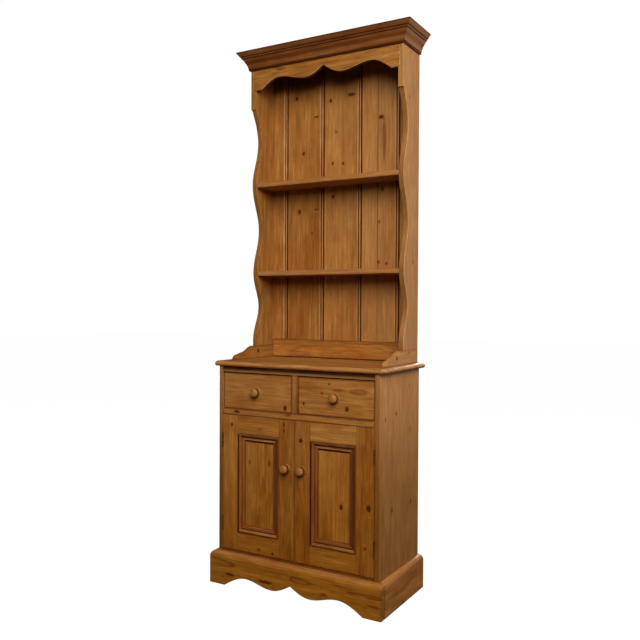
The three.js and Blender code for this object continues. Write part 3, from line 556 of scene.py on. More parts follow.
def sliced(bm, axis, pitch):
    """Cuts through a board every so far along it, so that its edges can be worn unevenly."""
    levels = [v.co[axis] for v in bm.verts]
    low, high = min(levels), max(levels)
    count = int((high - low) / pitch)
    normal = Vector([float(i == axis) for i in range(3)])
    for i in range(1, count):
        cut_across(bm, normal * (low + (high - low) * i / count), normal)


def banded(bm, start, direction, bands):
    """Cuts a board level where its bands of old wax and painted shade change, and gives the level at a point.
    """
    for away, _ in bands[1:-1]:
        cut_across(bm, (0, 0, start + direction * away), UP)
    return lambda place: level_at(bands, abs(place.z - start))


def eased(bm, width, segments=2, limit=EASED_FROM, chosen=None):
    """Rounds the outward corners of a mesh, or those chosen, and gives the points within the rounds."""
    sharp = [
        e for e in bm.edges
        if len(e.link_faces) == 2 and e.is_convex and e.calc_face_angle(0) > math.radians(limit)
        and (chosen is None or chosen(e))
    ]
    if not sharp or width <= 0:
        return set()
    made = bmesh.ops.bevel(
        bm, geom=sharp, offset=width, offset_type="OFFSET", segments=segments, profile=0.5,
        affect="EDGES", clamp_overlap=True)
    rounds = set(made["faces"])
    return {v for v in bm.verts if v.link_faces and all(f in rounds for f in v.link_faces)}


def grain_axes(low, high, along=None):
    """Axes of a board from its size: along the grain, across it and through its thickness."""
    size = high - low
    order = sorted(range(3), key=lambda i: -size[i])
    if along is not None:
        order.remove(along)
        order.insert(0, along)
    return order


def tone_of(node):
    """The first row of tones whose name is part of a node's name."""
    return next(row[1:] for row in TONES if row[0] in node)


def marks_on(node, low, high, axes, chance):
    """Knots of a piece: those that the photograph shows on it, or some set by chance where it shows none."""
    found = []
    if node in MARKS:
        (axis, side), places = MARKS[node]
        cross = next(i for i in range(3) if i not in (axis, axes[0]))
        for across, down, radius, longer, dark in places:
            place = seen_at(across, down, axis, (low, high)[side][axis])
            found.append((place, radius * MM, longer, dark, cross))
    elif not node.startswith(CLEAR) and not node.endswith(("moulding", "knob")):
        area = (high - low)[axes[0]] * (high - low)[axes[1]]
        wanted = min(MARKS_PER_PIECE, int(area / KNOT_AREA + chance.uniform(0, 0.9)))
        for _ in range(wanted):
            place = Vector([chance.uniform(low[i], high[i]) for i in range(3)])
            radius, longer, dark = [chance.uniform(*spread) for spread in CHANCE_KNOT]
            found.append((place, radius * MM, longer, dark, axes[1]))
    return found


def wood_data(mesh, name, node, axes, wear):
    """Writes what the wood finish reads at each point: place in the log, tone, wear, wax, painted light and
    knots.
    """
    points = [v.co for v in mesh.vertices]
    low = Vector([min(p[i] for p in points) for i in range(3)])
    high = Vector([max(p[i] for p in points) for i in range(3)])
    axes = axes or grain_axes(low, high)
    chance = random.Random(name)
    along, across, through = axes
    middle = (low + high) / 2
    half = (high - low) / 2
    heart = Vector((
        chance.uniform(*HEART_ALONG),
        chance.uniform(-HEART_ACROSS, HEART_ACROSS) * half[across],
        chance.choice((-1, 1)) * (chance.uniform(*HEART_OVER) + half[through]),
    ))
    lean = chance.uniform(-HEART_LEAN, HEART_LEAN)
    bright, red, figured, pale, wax_and_shade_on_edges, close, edges = tone_of(node)
    bright *= chance.uniform(*BRIGHT_SPREAD)
    red += chance.uniform(-RED_SPREAD, RED_SPREAD)
    marks = marks_on(node, low, high, axes, chance)
    count = len(points)
    # Back boards carry a share of the apron's painted shadow
    apron_shadow_share = BOARD_SHADOW[int(node[-1]) - 1] if node.startswith("rack_back_board") else 0.0
    layers = {
        "grain": [], "place": [], "tone": [], "age": [], "cut": [],
        "half": [half[along], half[across], half[through]] * count,
        "facing": [float(i == through) for i in range(3)] * count,
    }
    knots = [[] for _ in range(MARKS_PER_PIECE)]
    for point in points:
        offset = point - middle
        layers["place"] += (offset[along], offset[across], offset[through])
        over = offset[through] - heart.z + lean * offset[along]
        layers["grain"] += (offset[along] + heart.x, offset[across] - heart.y, over)
        # Paleness from age and painted sheen, old wax and painted shade along edges, and height for painted
        # shade
        layers["age"] += (pale, wax_and_shade_on_edges, point.z)
        # The case's sides are painted brighter toward their top, as the light falls on them
        painted_side_light = level_at(SIDE_LIGHT_BY_HEIGHT, point.z) if node.startswith("carcass_side") else 1.0
        layers["tone"] += (bright * painted_side_light, red, figured)
        forward = node.startswith("rack_side") and point.y < low.y + FRONT_EDGE
        layers["cut"] += (close, edges * (FRONT_EDGE_DARK if forward else 1.0), apron_shadow_share)
        for i, values in enumerate(knots):
            if i < len(marks):
                place, radius, longer, dark, cross = marks[i]
                away = point - place
                values += (away[along] / (radius * longer), away[cross] / radius, dark)
            else:
                values += (FAR_AWAY, FAR_AWAY, 0.0)
    layers.update({f"knot_{i}": values for i, values in enumerate(knots)})
    for layer, values in layers.items():
        mesh.attributes.new(layer, "FLOAT_VECTOR", "POINT").data.foreach_set("vector", values)
    # Rubbing over nought and old wax under it, among them painted highlights and shade
    mesh.attributes.new("wear", "FLOAT", "POINT").data.foreach_set("value", wear)
    sway = [FLAMES.get(node, 0.0)] * count
    mesh.attributes.new("sway", "FLOAT", "POINT").data.foreach_set("value", sway)


# Faces that turn less than this, in degrees, are shaded as one surface, with the broad ones leading
SMOOTH_TURN = 38
BROAD_FACE_WEIGHT = 80


def shaded(ob):
    """Smooth shading that breaks at corners and leaves flat faces flat."""
    mesh = ob.data
    mesh.polygons.foreach_set("use_smooth", [True] * len(mesh.polygons))
    mesh.set_sharp_from_angle(angle=math.radians(SMOOTH_TURN))
    modifier = ob.modifiers.new("Even shading", "WEIGHTED_NORMAL")
    modifier.keep_sharp = True
    modifier.weight = BROAD_FACE_WEIGHT


def everywhere(_place):
    """Slight rubbing, the same along every edge."""
    return 0.15


def faintly(_place):
    """Hardly any rubbing."""
    return 0.05


def level_at(bands, place):
    """The level at a place across bands: rubbing and painted highlights over nought, old wax and painted
    shade under it.
    """
    for (start, first), (end, second) in zip(bands, bands[1:]):
        if place <= end:
            return first + (second - first) * (place - start) / (end - start)
    return bands[-1][1]


def closely(section, pitch):
    """A section with more points set between those that lie far apart."""
    made = []
    for start, end in zip(section, section[1:]):
        count = max(1, math.ceil(math.dist(start, end) / pitch))
        made += [tuple(Vector(start).lerp(Vector(end), i / count)) for i in range(count)]
    return made + [tuple(section[-1])]


# Hollows worn into an edge, as waves in a metre
WEAR_SCALE = 26.0


def finished(name, bm, node, slot, along=None, worn=(), wear_depth=0.0, rubbed=everywhere, wax=()):
    """Makes a wooden piece from a mesh: wears its edges, gives it its finish and seats it for a CAD node."""
    bm.normal_update()
    for vert in worn:
        dip = 0.5 + noise.noise(vert.co * WEAR_SCALE)
        vert.co -= vert.normal * wear_depth * max(0.0, min(1.0, dip))
    bm.verts.index_update()
    wear = [0.0] * len(bm.verts)
    for vert in worn:
        wear[vert.index] = rubbed(vert.co)
    if wax:
        wear = [wax[i % len(wax)] for i in range(len(wear))]
    ob = new_object(name, bm)
    axes = None if along is None else grain_axes(*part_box(node), along)
    wood_data(ob.data, name, node, axes, wear)
    ob.data.materials.append(bpy.data.materials[FINISHES[slot]])
    shaded(ob)
    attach(ob, frame["nodes"][node]["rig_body"])
    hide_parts(node)


def planed(node, slot, width, wear_depth=0.0, along=None, name=None, bm=None, rubbed=everywhere):
    """A board in the CAD solid's shape, with its corners eased and worn."""
    bm = bm or from_node(node)
    if wear_depth > 0:
        lengthwise = grain_axes(*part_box(node), along)[0]
        sliced(bm, lengthwise, bpy.context.scene.dresser_sizes.wear_length)
    worn = eased(bm, width)
    finished(name or f"{node}_piece", bm, node, slot, along, worn, wear_depth, rubbed)


# Finishes
# Patterns in the wood and metal: waves in a metre along the grain, across it and through the board, how many
# finer layers lie on each, and how strong those are. The season's waves run from ring to ring.
PATTERNS = {
    "drift": ((1.7, 6.0, 6.0), 2.0, 0.5), "sway": ((7, 12, 12), 1.0, 0.5),
    "ripple": ((14, 110, 110), 3.0, 0.5), "season": ((0.43, 1, 1), 1.0, 0.5),
    "wobble": ((160, 220, 220), 2.0, 0.5), "hair": ((3, 260, 260), 2.0, 0.6),
    "fibre": ((9, 420, 420), 3.0, 0.6), "streak": ((0.8, 56, 56), 3.0, 0.65),
    "fleck": ((9, 210, 210), 3.0, 0.7), "patch": ((2.2, 12, 12), 3.0, 0.6),
    "blotch": ((14, 34, 34), 3.0, 0.6), "speck": ((130, 220, 220), 2.0, 0.7),
    "dark edge line": ((30, 90, 90), 3.0, 0.5), "dark groove": ((12, 80, 80), 3.0, 0.5),
    "rubbing": ((22, 60, 60), 2.0, 0.5), "shine": ((6, 30, 30), 3.0, 0.5), "planing": ((5, 16, 16), 2.0, 0.5),
    "tarnish": ((140, 140, 140), 4.0, 0.65), "scratch": ((90, 1400, 700), 2.0, 0.5),
}
# What a pattern does: the two levels that it works between, and the amounts that it gives at each
EFFECTS = {
    "season": (0.3, 0.7, 0.2, 1.0), "patch": (0.32, 0.7, 0.0, 0.8), "hair": (0.56, 0.68, 0.0, 0.26),
    "fibre": (0.34, 0.66, 0.88, 1.12), "streak": (0.3, 0.7, 0.87, 1.12), "fleck": (0.34, 0.66, 0.84, 1.13),
    "blotch": (0.3, 0.7, 0.86, 1.12), "speck": (0.66, 0.76, 0.0, 0.4), "dark groove": (0.3, 0.7, 0.85, 1.0),
    "rubbing": (0.3, 0.65, 0.3, 0.9), "tarnish": (0.35, 0.7, 0.0, 0.85), "scratch": (0.3, 0.7, 0.3, 0.5),
}
# How the streaks break up the paleness of old wood and of painted sheen, in the same form
PALING = (0.3, 0.7, 1.4, 0.6)
# Growth rings: how far apart they lie, how far they wander, ripple and bend past a knot, and how dark they
# are from one year's start to its end
RING_SPACING = 5.2 * MM
WANDER = 22 * MM
RIPPLE = 0.5 * RING_SPACING
KNOT_PUSH = 3.4 * RING_SPACING
LATE_WOOD_STOPS = ((0.0, 0.12), (0.35, 0.0), (0.7, 0.35), (0.9, 1.0), (1.0, 0.12))
# A knot in its own radii: how uneven its outline is, where its heart fades out, its dark rim and that rim's
# width, and how far the wood bends round it
KNOT_WOBBLE = 1.1
KNOT_HEART = (0.5, 1.1)
KNOT_RIM = 0.85
KNOT_RIM_WIDTH = 0.4
KNOT_BEND = 3.4
# How strongly a knot warms the wood round it, darkens its own heart and holds old wax along its rim
KNOT_SHADES = (0.55, 0.9, 0.5)
# Height under which the light falls off toward the floor, and what is left of it there
DARKER_BELOW = 0.75
FLOOR_DARKNESS = 0.66
# Powers by which red and blue darken, against one for green, as old wood turns and under painted shade
RED_DARKENING = 0.85
BLUE_DARKENING = 1.45
# Painted shade on the front below the worktop: between these heights, forward faces lose so much green and
# blue
FRONT_SHADE_HEIGHTS = (0.05, 0.72)
FRONT_SHADE_GREEN = 0.1
FRONT_SHADE_BLUE = 0.64
# Heights between which the apron's shadow deepens, and how dark it is
BEHIND_APRON = (1.81, 1.86)
APRON_SHADOW = 0.68
# How squarely a surface faces along its board's thickness, from a sawn edge to a planed face, how dark a sawn
# edge is, from its own grain and painted shade, and the darkest that one may be
SAWN_TO_PLANED = (0.2, 0.75)
SAWN_DARKNESS = 0.6
DARKEST_EDGE = 0.2
# How far old wax and painted shade reach in from a board's edges, and how strong they are
EDGE_DARK_REACH = 3.5 * MM
EDGE_WAX_AND_SHADE = 0.75
# Relief: how much rings, fibres and knots stand out, how strong this fine relief is, and how strong and
# deep the waves of a hand plane are
RING_RELIEF, FIBRE_RELIEF, KNOT_RELIEF = 0.6, 0.4, 0.8
FINE_RELIEF = 0.35
PLANING_RELIEF = 0.5
PLANING_DEPTH = 0.6 * MM
# Each wood's roughness, the depth of its grain, how dark its rings are, and how thick its coat of wax is
WOODS = {
    "pine": (0.42, 0.35 * MM, 0.55, 0.04),
    "red_pine": (0.4, 0.3 * MM, 0.5, 0.04),
    "bare_pine": (0.62, 0.4 * MM, 0.6, 0.0),
}
COAT_ROUGHNESS = 0.3
# Relief of the scratches in metal
SCRATCH_RELIEF = 0.3
SCRATCH_DEPTH = 0.05 * MM
# Levels of the shine's pattern, and how far it changes the roughness at each
SHINE_LEVELS = (0.25, 0.75)
SHINE_CHANGES = (-0.07, 0.1)


class Graph:
    """Adds nodes to a finish and joins them."""

    def __init__(self, tree):
        self.tree = tree
        tree.nodes.clear()

    def node(self, kind, **settings):
        made = self.tree.nodes.new(kind)
        for key, value in settings.items():
            setattr(made, key, value)
        return made

    def feed(self, socket, value):
        if isinstance(value, bpy.types.NodeSocket):
            self.tree.links.new(value, socket)
        else:
            socket.default_value = value

    def fed(self, kind, values, **settings):
        """A node whose first inputs are fed in order."""
        made = self.node(kind, **settings)
        for socket, value in zip(made.inputs, values):
            self.feed(socket, value)
        return made

    def attribute(self, name, output="Vector"):
        return self.node("ShaderNodeAttribute", attribute_name=name).outputs[output]

    def math(self, operation, *values, clamp=False):
        return self.fed("ShaderNodeMath", values, operation=operation, use_clamp=clamp).outputs[0]

    def plus(self, first, second, clamp=False):
        return self.math("ADD", first, second, clamp=clamp)

    def minus(self, first, second):
        return self.math("SUBTRACT", first, second)

    def rest(self, share):
        """What a share leaves of one."""
        return self.math("SUBTRACT", 1.0, share)

    def times(self, first, *others, clamp=False):
        for other in others:
            first = self.math("MULTIPLY", first, other, clamp=clamp)
        return first

    def least(self, first, second):
        return self.math("MINIMUM", first, second)

    def most(self, first, second):
        return self.math("MAXIMUM", first, second)

    def vector(self, operation, *values):
        made = self.fed("ShaderNodeVectorMath", values, operation=operation)
        return made.outputs["Value" if operation in ("LENGTH", "DOT_PRODUCT") else "Vector"]

    def separate(self, value):
        return self.fed("ShaderNodeSeparateXYZ", (value,)).outputs

    def combine(self, x, y, z):
        return self.fed("ShaderNodeCombineXYZ", (x, y, z)).outputs[0]

    def pattern(self, place, name, colour=False):
        scale, detail, rough = PATTERNS[name]
        made = self.node("ShaderNodeTexNoise")
        self.feed(made.inputs["Vector"], self.vector("MULTIPLY", place, scale))
        made.inputs["Scale"].default_value = 1.0
        made.inputs["Detail"].default_value = detail
        made.inputs["Roughness"].default_value = rough
        return made.outputs[1 if colour else 0]

    def span(self, value, low, high, start, end, kind="SMOOTHSTEP"):
        """A value between two levels, turned into one from a start to an end."""
        values = (value, low, high, start, end)
        return self.fed("ShaderNodeMapRange", values, interpolation_type=kind).outputs[0]

    def effect(self, place, name):
        return self.span(self.pattern(place, name), *EFFECTS[name])

    def mix(self, share, first, second, blend="MIX"):
        made = self.node("ShaderNodeMix", data_type="RGBA", blend_type=blend)
        for i, value in ((0, share), (6, first), (7, second)):
            self.feed(made.inputs[i], value)
        return made.outputs[2]

    def deepened(self, colour, factor):
        """A colour made darker and also redder, or paler and also less red, as old wood turns and under
        painted shade.
        """
        red = self.math("POWER", factor, RED_DARKENING)
        blue = self.math("POWER", factor, BLUE_DARKENING)
        return self.mix(1.0, colour, self.combine(red, factor, blue), "MULTIPLY")

    def ramp(self, value, stops):
        made = self.fed("ShaderNodeValToRGB", (value,))
        elements = made.color_ramp.elements
        for place, level in stops:
            ends = {0.0: 0, 1.0: len(elements) - 1}
            element = elements[ends[place]] if place in ends else elements.new(place)
            element.color = (level, level, level, 1)
        return made.outputs[0]

    def bump(self, height, strength, distance, over=None):
        """Relief from a height, laid over another relief where one is given."""
        made = self.node("ShaderNodeBump")
        made.inputs["Strength"].default_value = strength
        made.inputs["Distance"].default_value = distance
        self.feed(made.inputs["Height"], height)
        if over is not None:
            self.feed(made.inputs["Normal"], over)
        return made.outputs[0]

    def surface(self, settings):
        """The surface of the finish, with its inputs set by name."""
        shader = self.node("ShaderNodeBsdfPrincipled")
        for name, value in settings.items():
            self.feed(shader.inputs[name], value)
        output = self.node("ShaderNodeOutputMaterial")
        self.feed(output.inputs["Surface"], shader.outputs[0])


def new_finish(name):
    """A new finish's graph, still empty."""
    material = bpy.data.materials.new(name)
    material.use_nodes = True
    return Graph(material.node_tree)


def knot_masks(graph, place):
    """How far each point lies within a knot, within its dark rim and within the wood that bends round it."""
    wobble = graph.times(graph.minus(graph.pattern(place, "wobble"), 0.5), KNOT_WOBBLE)
    core, rim, near = 0.0, 0.0, 0.0
    for i in range(MARKS_PER_PIECE):
        knot = graph.attribute(f"knot_{i}")
        dark = graph.separate(knot)[2]
        away = graph.vector("LENGTH", graph.vector("MULTIPLY", knot, (1, 1, 0)))
        edge = graph.plus(away, wobble)
        off_rim = graph.math("ABSOLUTE", graph.minus(edge, KNOT_RIM))
        core = graph.most(core, graph.times(graph.span(edge, *KNOT_HEART, 1.0, 0.0), dark))
        rim = graph.most(rim, graph.times(graph.span(off_rim, 0.0, KNOT_RIM_WIDTH, 1.0, 0.0), dark))
        near = graph.most(near, graph.times(graph.span(away, 0.0, KNOT_BEND, 1.0, 0.0), dark))
    return core, rim, near


def ring_figure(graph, place, near, close, figured):
    """How far each point lies on the hard wood of a growth ring. The rings lie round the log's heart."""
    drift = graph.vector("SUBTRACT", graph.pattern(place, "drift", colour=True), (0.5, 0.5, 0.5))
    moved = graph.vector("ADD", place, graph.vector("MULTIPLY", drift, (0.0, WANDER, WANDER)))
    radius = graph.vector("LENGTH", graph.vector("MULTIPLY", moved, (0, 1, 1)))
    pushed = graph.plus(radius, graph.times(near, KNOT_PUSH))
    swaying = graph.minus(graph.pattern(place, "sway"), 0.5)
    pushed = graph.plus(pushed, graph.times(swaying, graph.attribute("sway", "Fac")))
    rippled = graph.plus(pushed, graph.times(graph.pattern(place, "ripple"), RIPPLE))
    rings = graph.math("DIVIDE", graph.times(rippled, close), RING_SPACING)
    late_wood = graph.separate(graph.ramp(graph.math("FRACT", rings), LATE_WOOD_STOPS))[0]
    season = graph.effect(graph.combine(rings, 0.0, 0.0), "season")
    return graph.times(late_wood, season, figured)


def edge_mask(graph, place):
    """How near each point lies to the sides or ends of its board, from 0 to 1, in an uneven line."""
    away = graph.vector("SUBTRACT", graph.attribute("half"),
                        graph.vector("ABSOLUTE", graph.attribute("place")))
    end, side, face = graph.separate(away)
    nearest = graph.most(graph.least(end, side), graph.least(graph.most(end, side), face))
    uneven = graph.times(graph.pattern(place, "dark edge line"), EDGE_DARK_REACH)
    return graph.span(graph.minus(nearest, uneven), 0.0, EDGE_DARK_REACH, 1.0, 0.0)


def sawn_edge(graph, normal):
    """How far a surface lies on the sawn edge of its board, less where it faces up."""
    flat = graph.math("ABSOLUTE", graph.vector("DOT_PRODUCT", normal, graph.attribute("facing")))
    upward = graph.most(graph.separate(normal)[2], 0.0)
    return graph.times(graph.span(flat, *SAWN_TO_PLANED, 1.0, 0.0), graph.rest(upward))


def aged_and_shaded(graph, colour, height, apron_shadow_share, edge_darkness):
    """Paints the light's fall toward the floor, the apron's shadow and shade low on the front; darkens sawn
    edges.
    """
    normal = graph.node("ShaderNodeTexCoord").outputs["Normal"]
    forward = graph.most(graph.times(graph.separate(normal)[1], -1.0), 0.0)
    # Painted fall of the light toward the floor
    colour = graph.deepened(colour, graph.span(height, 0.0, DARKER_BELOW, FLOOR_DARKNESS, 1.0, "LINEAR"))
    # Painted shade low on the front: forward faces lose green and blue
    lower_front = graph.times(graph.span(height, *FRONT_SHADE_HEIGHTS, 1.0, 0.0, "LINEAR"), forward)
    green, blue = [graph.rest(graph.times(lower_front, loss)) for loss in (FRONT_SHADE_GREEN, FRONT_SHADE_BLUE)]
    colour = graph.mix(1.0, colour, graph.combine(1.0, green, blue), "MULTIPLY")
    # The apron's painted shadow on the back boards' front faces
    shadow = graph.times(graph.span(height, *BEHIND_APRON, 0.0, APRON_SHADOW), graph.times(apron_shadow_share, forward))
    colour = graph.deepened(colour, graph.rest(shadow))
    # Darker sawn edges, from their own grain and painted shade, less where they face up
    edge_shade = graph.times(sawn_edge(graph, normal), edge_darkness, SAWN_DARKNESS)
    return graph.deepened(colour, graph.most(graph.rest(edge_shade), DARKEST_EDGE))


def handled_and_lit(graph, colour, place, wax_and_shade_on_edges, colours):
    """Adds old wax and painted shade along edges and in grooves, and pale rubbing and painted highlights."""
    wear = graph.attribute("wear", "Fac")
    edges = graph.times(edge_mask(graph, place), wax_and_shade_on_edges)
    grooves = graph.times(graph.times(wear, -1.0, clamp=True), graph.effect(place, "dark groove"))
    # Old wax with painted shade along edges and in grooves
    colour = graph.mix(graph.most(graph.times(edges, EDGE_WAX_AND_SHADE), grooves), colour, colours.dark_wax_and_shade)
    # Pale rubbing, with painted highlights and reflections
    return graph.mix(graph.times(wear, graph.effect(place, "rubbing"), clamp=True), colour, colours.worn)


def wood(slot, soft, warm, hard, colours):
    """Finish of sawn pine, with its growth rings, knots, fibres, age and wear, and painted light and shade.
    """
    roughness, depth, late, coat = WOODS[slot]
    graph = new_finish(FINISHES[slot])
    place = graph.attribute("grain")
    bright, red, figured = graph.separate(graph.attribute("tone"))
    pale, wax_and_shade_on_edges, height = graph.separate(graph.attribute("age"))
    close, edge_darkness, apron_shadow_share = graph.separate(graph.attribute("cut"))
    core, rim, near = knot_masks(graph, place)
    figure = ring_figure(graph, place, near, close, figured)

    warmth = graph.plus(graph.effect(place, "patch"), red, clamp=True)
    colour = graph.mix(warmth, soft, warm)
    colour = graph.mix(graph.times(figure, late), colour, hard)
    colour = graph.mix(graph.effect(place, "hair"), colour, hard)
    for name in ("fibre", "streak", "fleck", "blotch"):
        colour = graph.deepened(colour, graph.effect(place, name))
    # Paleness of old wood, with a painted sheen on some pieces
    paled = graph.times(pale, graph.span(graph.pattern(place, "streak"), *PALING))
    colour = graph.mix(paled, colour, colours.worn)
    for mask, strength, shade in zip((near, core, rim), KNOT_SHADES, (warm, colours.knot, colours.dark_wax_and_shade)):
        colour = graph.mix(graph.times(mask, strength), colour, shade)
    colour = graph.mix(graph.effect(place, "speck"), colour, colours.dark_wax_and_shade)
    colour = graph.deepened(colour, bright)
    colour = aged_and_shaded(graph, colour, height, apron_shadow_share, edge_darkness)
    colour = handled_and_lit(graph, colour, place, wax_and_shade_on_edges, colours)

    fibres = graph.times(graph.pattern(place, "fibre"), FIBRE_RELIEF)
    ridges = graph.plus(graph.times(figure, RING_RELIEF), fibres)
    ridges = graph.minus(ridges, graph.times(rim, KNOT_RELIEF))
    fine = graph.bump(ridges, FINE_RELIEF, depth)
    shine = [roughness + change for change in SHINE_CHANGES]
    graph.surface({
        "Base Color": colour,
        "Roughness": graph.span(graph.pattern(place, "shine"), *SHINE_LEVELS, *shine),
        "Normal": graph.bump(graph.pattern(place, "planing"), PLANING_RELIEF, PLANING_DEPTH, fine),
        "IOR": 1.48,
        "Specular IOR Level": 0.14,
        "Coat Weight": coat,
        "Coat Roughness": COAT_ROUGHNESS,
    })


def metal(slot, colour, dark):
    """Finish of tarnished metal, with darker stains and fine scratches."""
    graph = new_finish(FINISHES[slot])
    place = graph.node("ShaderNodeTexCoord").outputs["Object"]
    graph.surface({
        "Metallic": 0.5,
        "Base Color": graph.mix(graph.effect(place, "tarnish"), colour, dark),
        "Roughness": graph.effect(place, "scratch"),
        "Normal": graph.bump(graph.pattern(place, "scratch"), SCRATCH_RELIEF, SCRATCH_DEPTH),
    })


class DRESSER_OT_finishes(bpy.types.Operator):
    """Make the finishes of the waxed, stained and bare pine and of the brass"""

    bl_idname = "dresser.finishes"
    bl_label = "Finishes"

    def execute(self, context):
        colours = context.scene.dresser_colours
        rings = colours.late_wood
        wood("pine", colours.honey, colours.amber, rings, colours)
        wood("red_pine", colours.stained, colours.stained_red, rings, colours)
        wood("bare_pine", colours.bare, colours.bare_deep, colours.amber, colours)
        metal("brass", colours.brass, colours.dark_wax_and_shade)
        return {"FINISHED"}


# Case
class DRESSER_OT_case(bpy.types.Operator):
    """Build the sides of the case, its rails and the upright between the drawers"""

    bl_idname = "dresser.case"
    bl_label = "Case"

    def execute(self, context):
        sizes = context.scene.dresser_sizes
        for side, _ in SIDES:
            planed(f"carcass_side_{side}", "pine", sizes.arris, sizes.wear)
        for node in ("mid_rail", "drawer_partition"):
            planed(node, "pine", sizes.fine_arris, along=0 if "rail" in node else 2)
        bm = from_node("top_rail")
        # The worktop's painted shadow, with old wax and dust, on the top rail
        rubbed = banded(bm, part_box("top_rail")[1].z, -1, TOP_RAIL_SHADE_AND_WAX)
        finished("top_rail_piece", bm, "top_rail", "pine", 0, set(bm.verts), rubbed=rubbed)
        return {"FINISHED"}


# The case's back: how many boards it shows, and the gap between them
BACK_BOARDS = 5
BACK_GAP = 0.2 * MM


class DRESSER_OT_inside(bpy.types.Operator):
    """Build the boards inside the case and its boarded back"""

    bl_idname = "dresser.inside"
    bl_label = "Inside"

    def execute(self, context):
        sizes = context.scene.dresser_sizes
        planed("cupboard_floor", "pine", sizes.fine_arris)
        for node in ("drawer_deck", "cupboard_shelf"):
            planed(node, "bare_pine", sizes.fine_arris)
        low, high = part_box("case_back")
        edges = [low.x + (high.x - low.x) * i / BACK_BOARDS for i in range(BACK_BOARDS + 1)]
        for i, (start, end) in enumerate(zip(edges, edges[1:])):
            bm = block((start + BACK_GAP * (i > 0), low.y, low.z), (end - BACK_GAP, high.y, high.z))
            planed("case_back", "bare_pine", sizes.arris, along=2, name=f"case_back_board_{i + 1}", bm=bm)
        return {"FINISHED"}


# Worktop: the small chamfer under its nose, how far over the nose its edge is pale, and how pale over that
# and how dark under it it is on its corners and on its straight front, from rubbing with a painted highlight
# above and painted shade below. Its top and underside are left unmarked.
WORKTOP_CHAMFER = 0.8 * MM
PALE_OVER_NOSE = 2 * MM
CORNER_LIGHT_AND_WEAR = (0.6, -0.1)
FRONT_LIGHT_AND_WEAR = (0.25, 0.0)
FLAT_FACE = 0.2 * MM


class DRESSER_OT_worktop(bpy.types.Operator):
    """Build the worktop with its thumbnail edge and round front corners"""

    bl_idname = "dresser.worktop"
    bl_label = "Worktop"

    def execute(self, context):
        sizes = context.scene.dresser_sizes
        low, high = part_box("worktop")
        nose = high.z - sizes.worktop_edge_height
        centre = (sizes.worktop_edge_width, nose)
        radii = (sizes.worktop_edge_width, sizes.worktop_edge_height)
        under = sizes.worktop_undercut
        profile = [(under + WORKTOP_CHAMFER, low.z), (under, low.z + WORKTOP_CHAMFER)]
        profile += arc(centre, radii, 2, 1, sizes.round_steps)
        x = high.x - sizes.worktop_corner
        y = low.y + sizes.worktop_corner
        loops = []
        for inset, level in profile:
            radius = sizes.worktop_corner - inset
            loop = arc((-x, y), (radius, radius), -2, -1, sizes.round_steps)
            loop += arc((x, y), (radius, radius), -1, 0, sizes.round_steps)
            loop += [(high.x - inset, high.y), (inset - high.x, high.y)]
            loops.append([Vector((px, py, level)) for px, py in loop])
        bm = lofted(loops)

        # Rubbing and a painted highlight over the nose, painted shade under it at the corners
        def on_nose(place):
            if not low.z + FLAT_FACE < place.z < high.z - FLAT_FACE:
                return 0.0
            upper, lower = CORNER_LIGHT_AND_WEAR if abs(place.x) > x else FRONT_LIGHT_AND_WEAR
            return upper if place.z > nose + PALE_OVER_NOSE else lower
        finished("worktop_piece", bm, "worktop", "pine", 0, set(bm.verts), rubbed=on_nose)
        return {"FINISHED"}


# Plinth: how far its cutters reach past the boards, how far under the round its sawn curve ends, the band
# along its top that is rubbed, how much it is rubbed there and below, the share of the round below the worn
# part, and the saw cut where two lengths of the right side's upper edge meet, which shows at this place in
# the photograph
OVERCUT = 2 * MM
SHOULDER_MARGIN = 1 * MM
PLINTH_RUBBED = 8 * MM
PLINTH_RUBBING = (0.16, 0.05)
WORN_ROUND = 0.3
CAP_JOINT = (405.6, 568.8)
HALF_SAW_CUT = 0.35 * MM


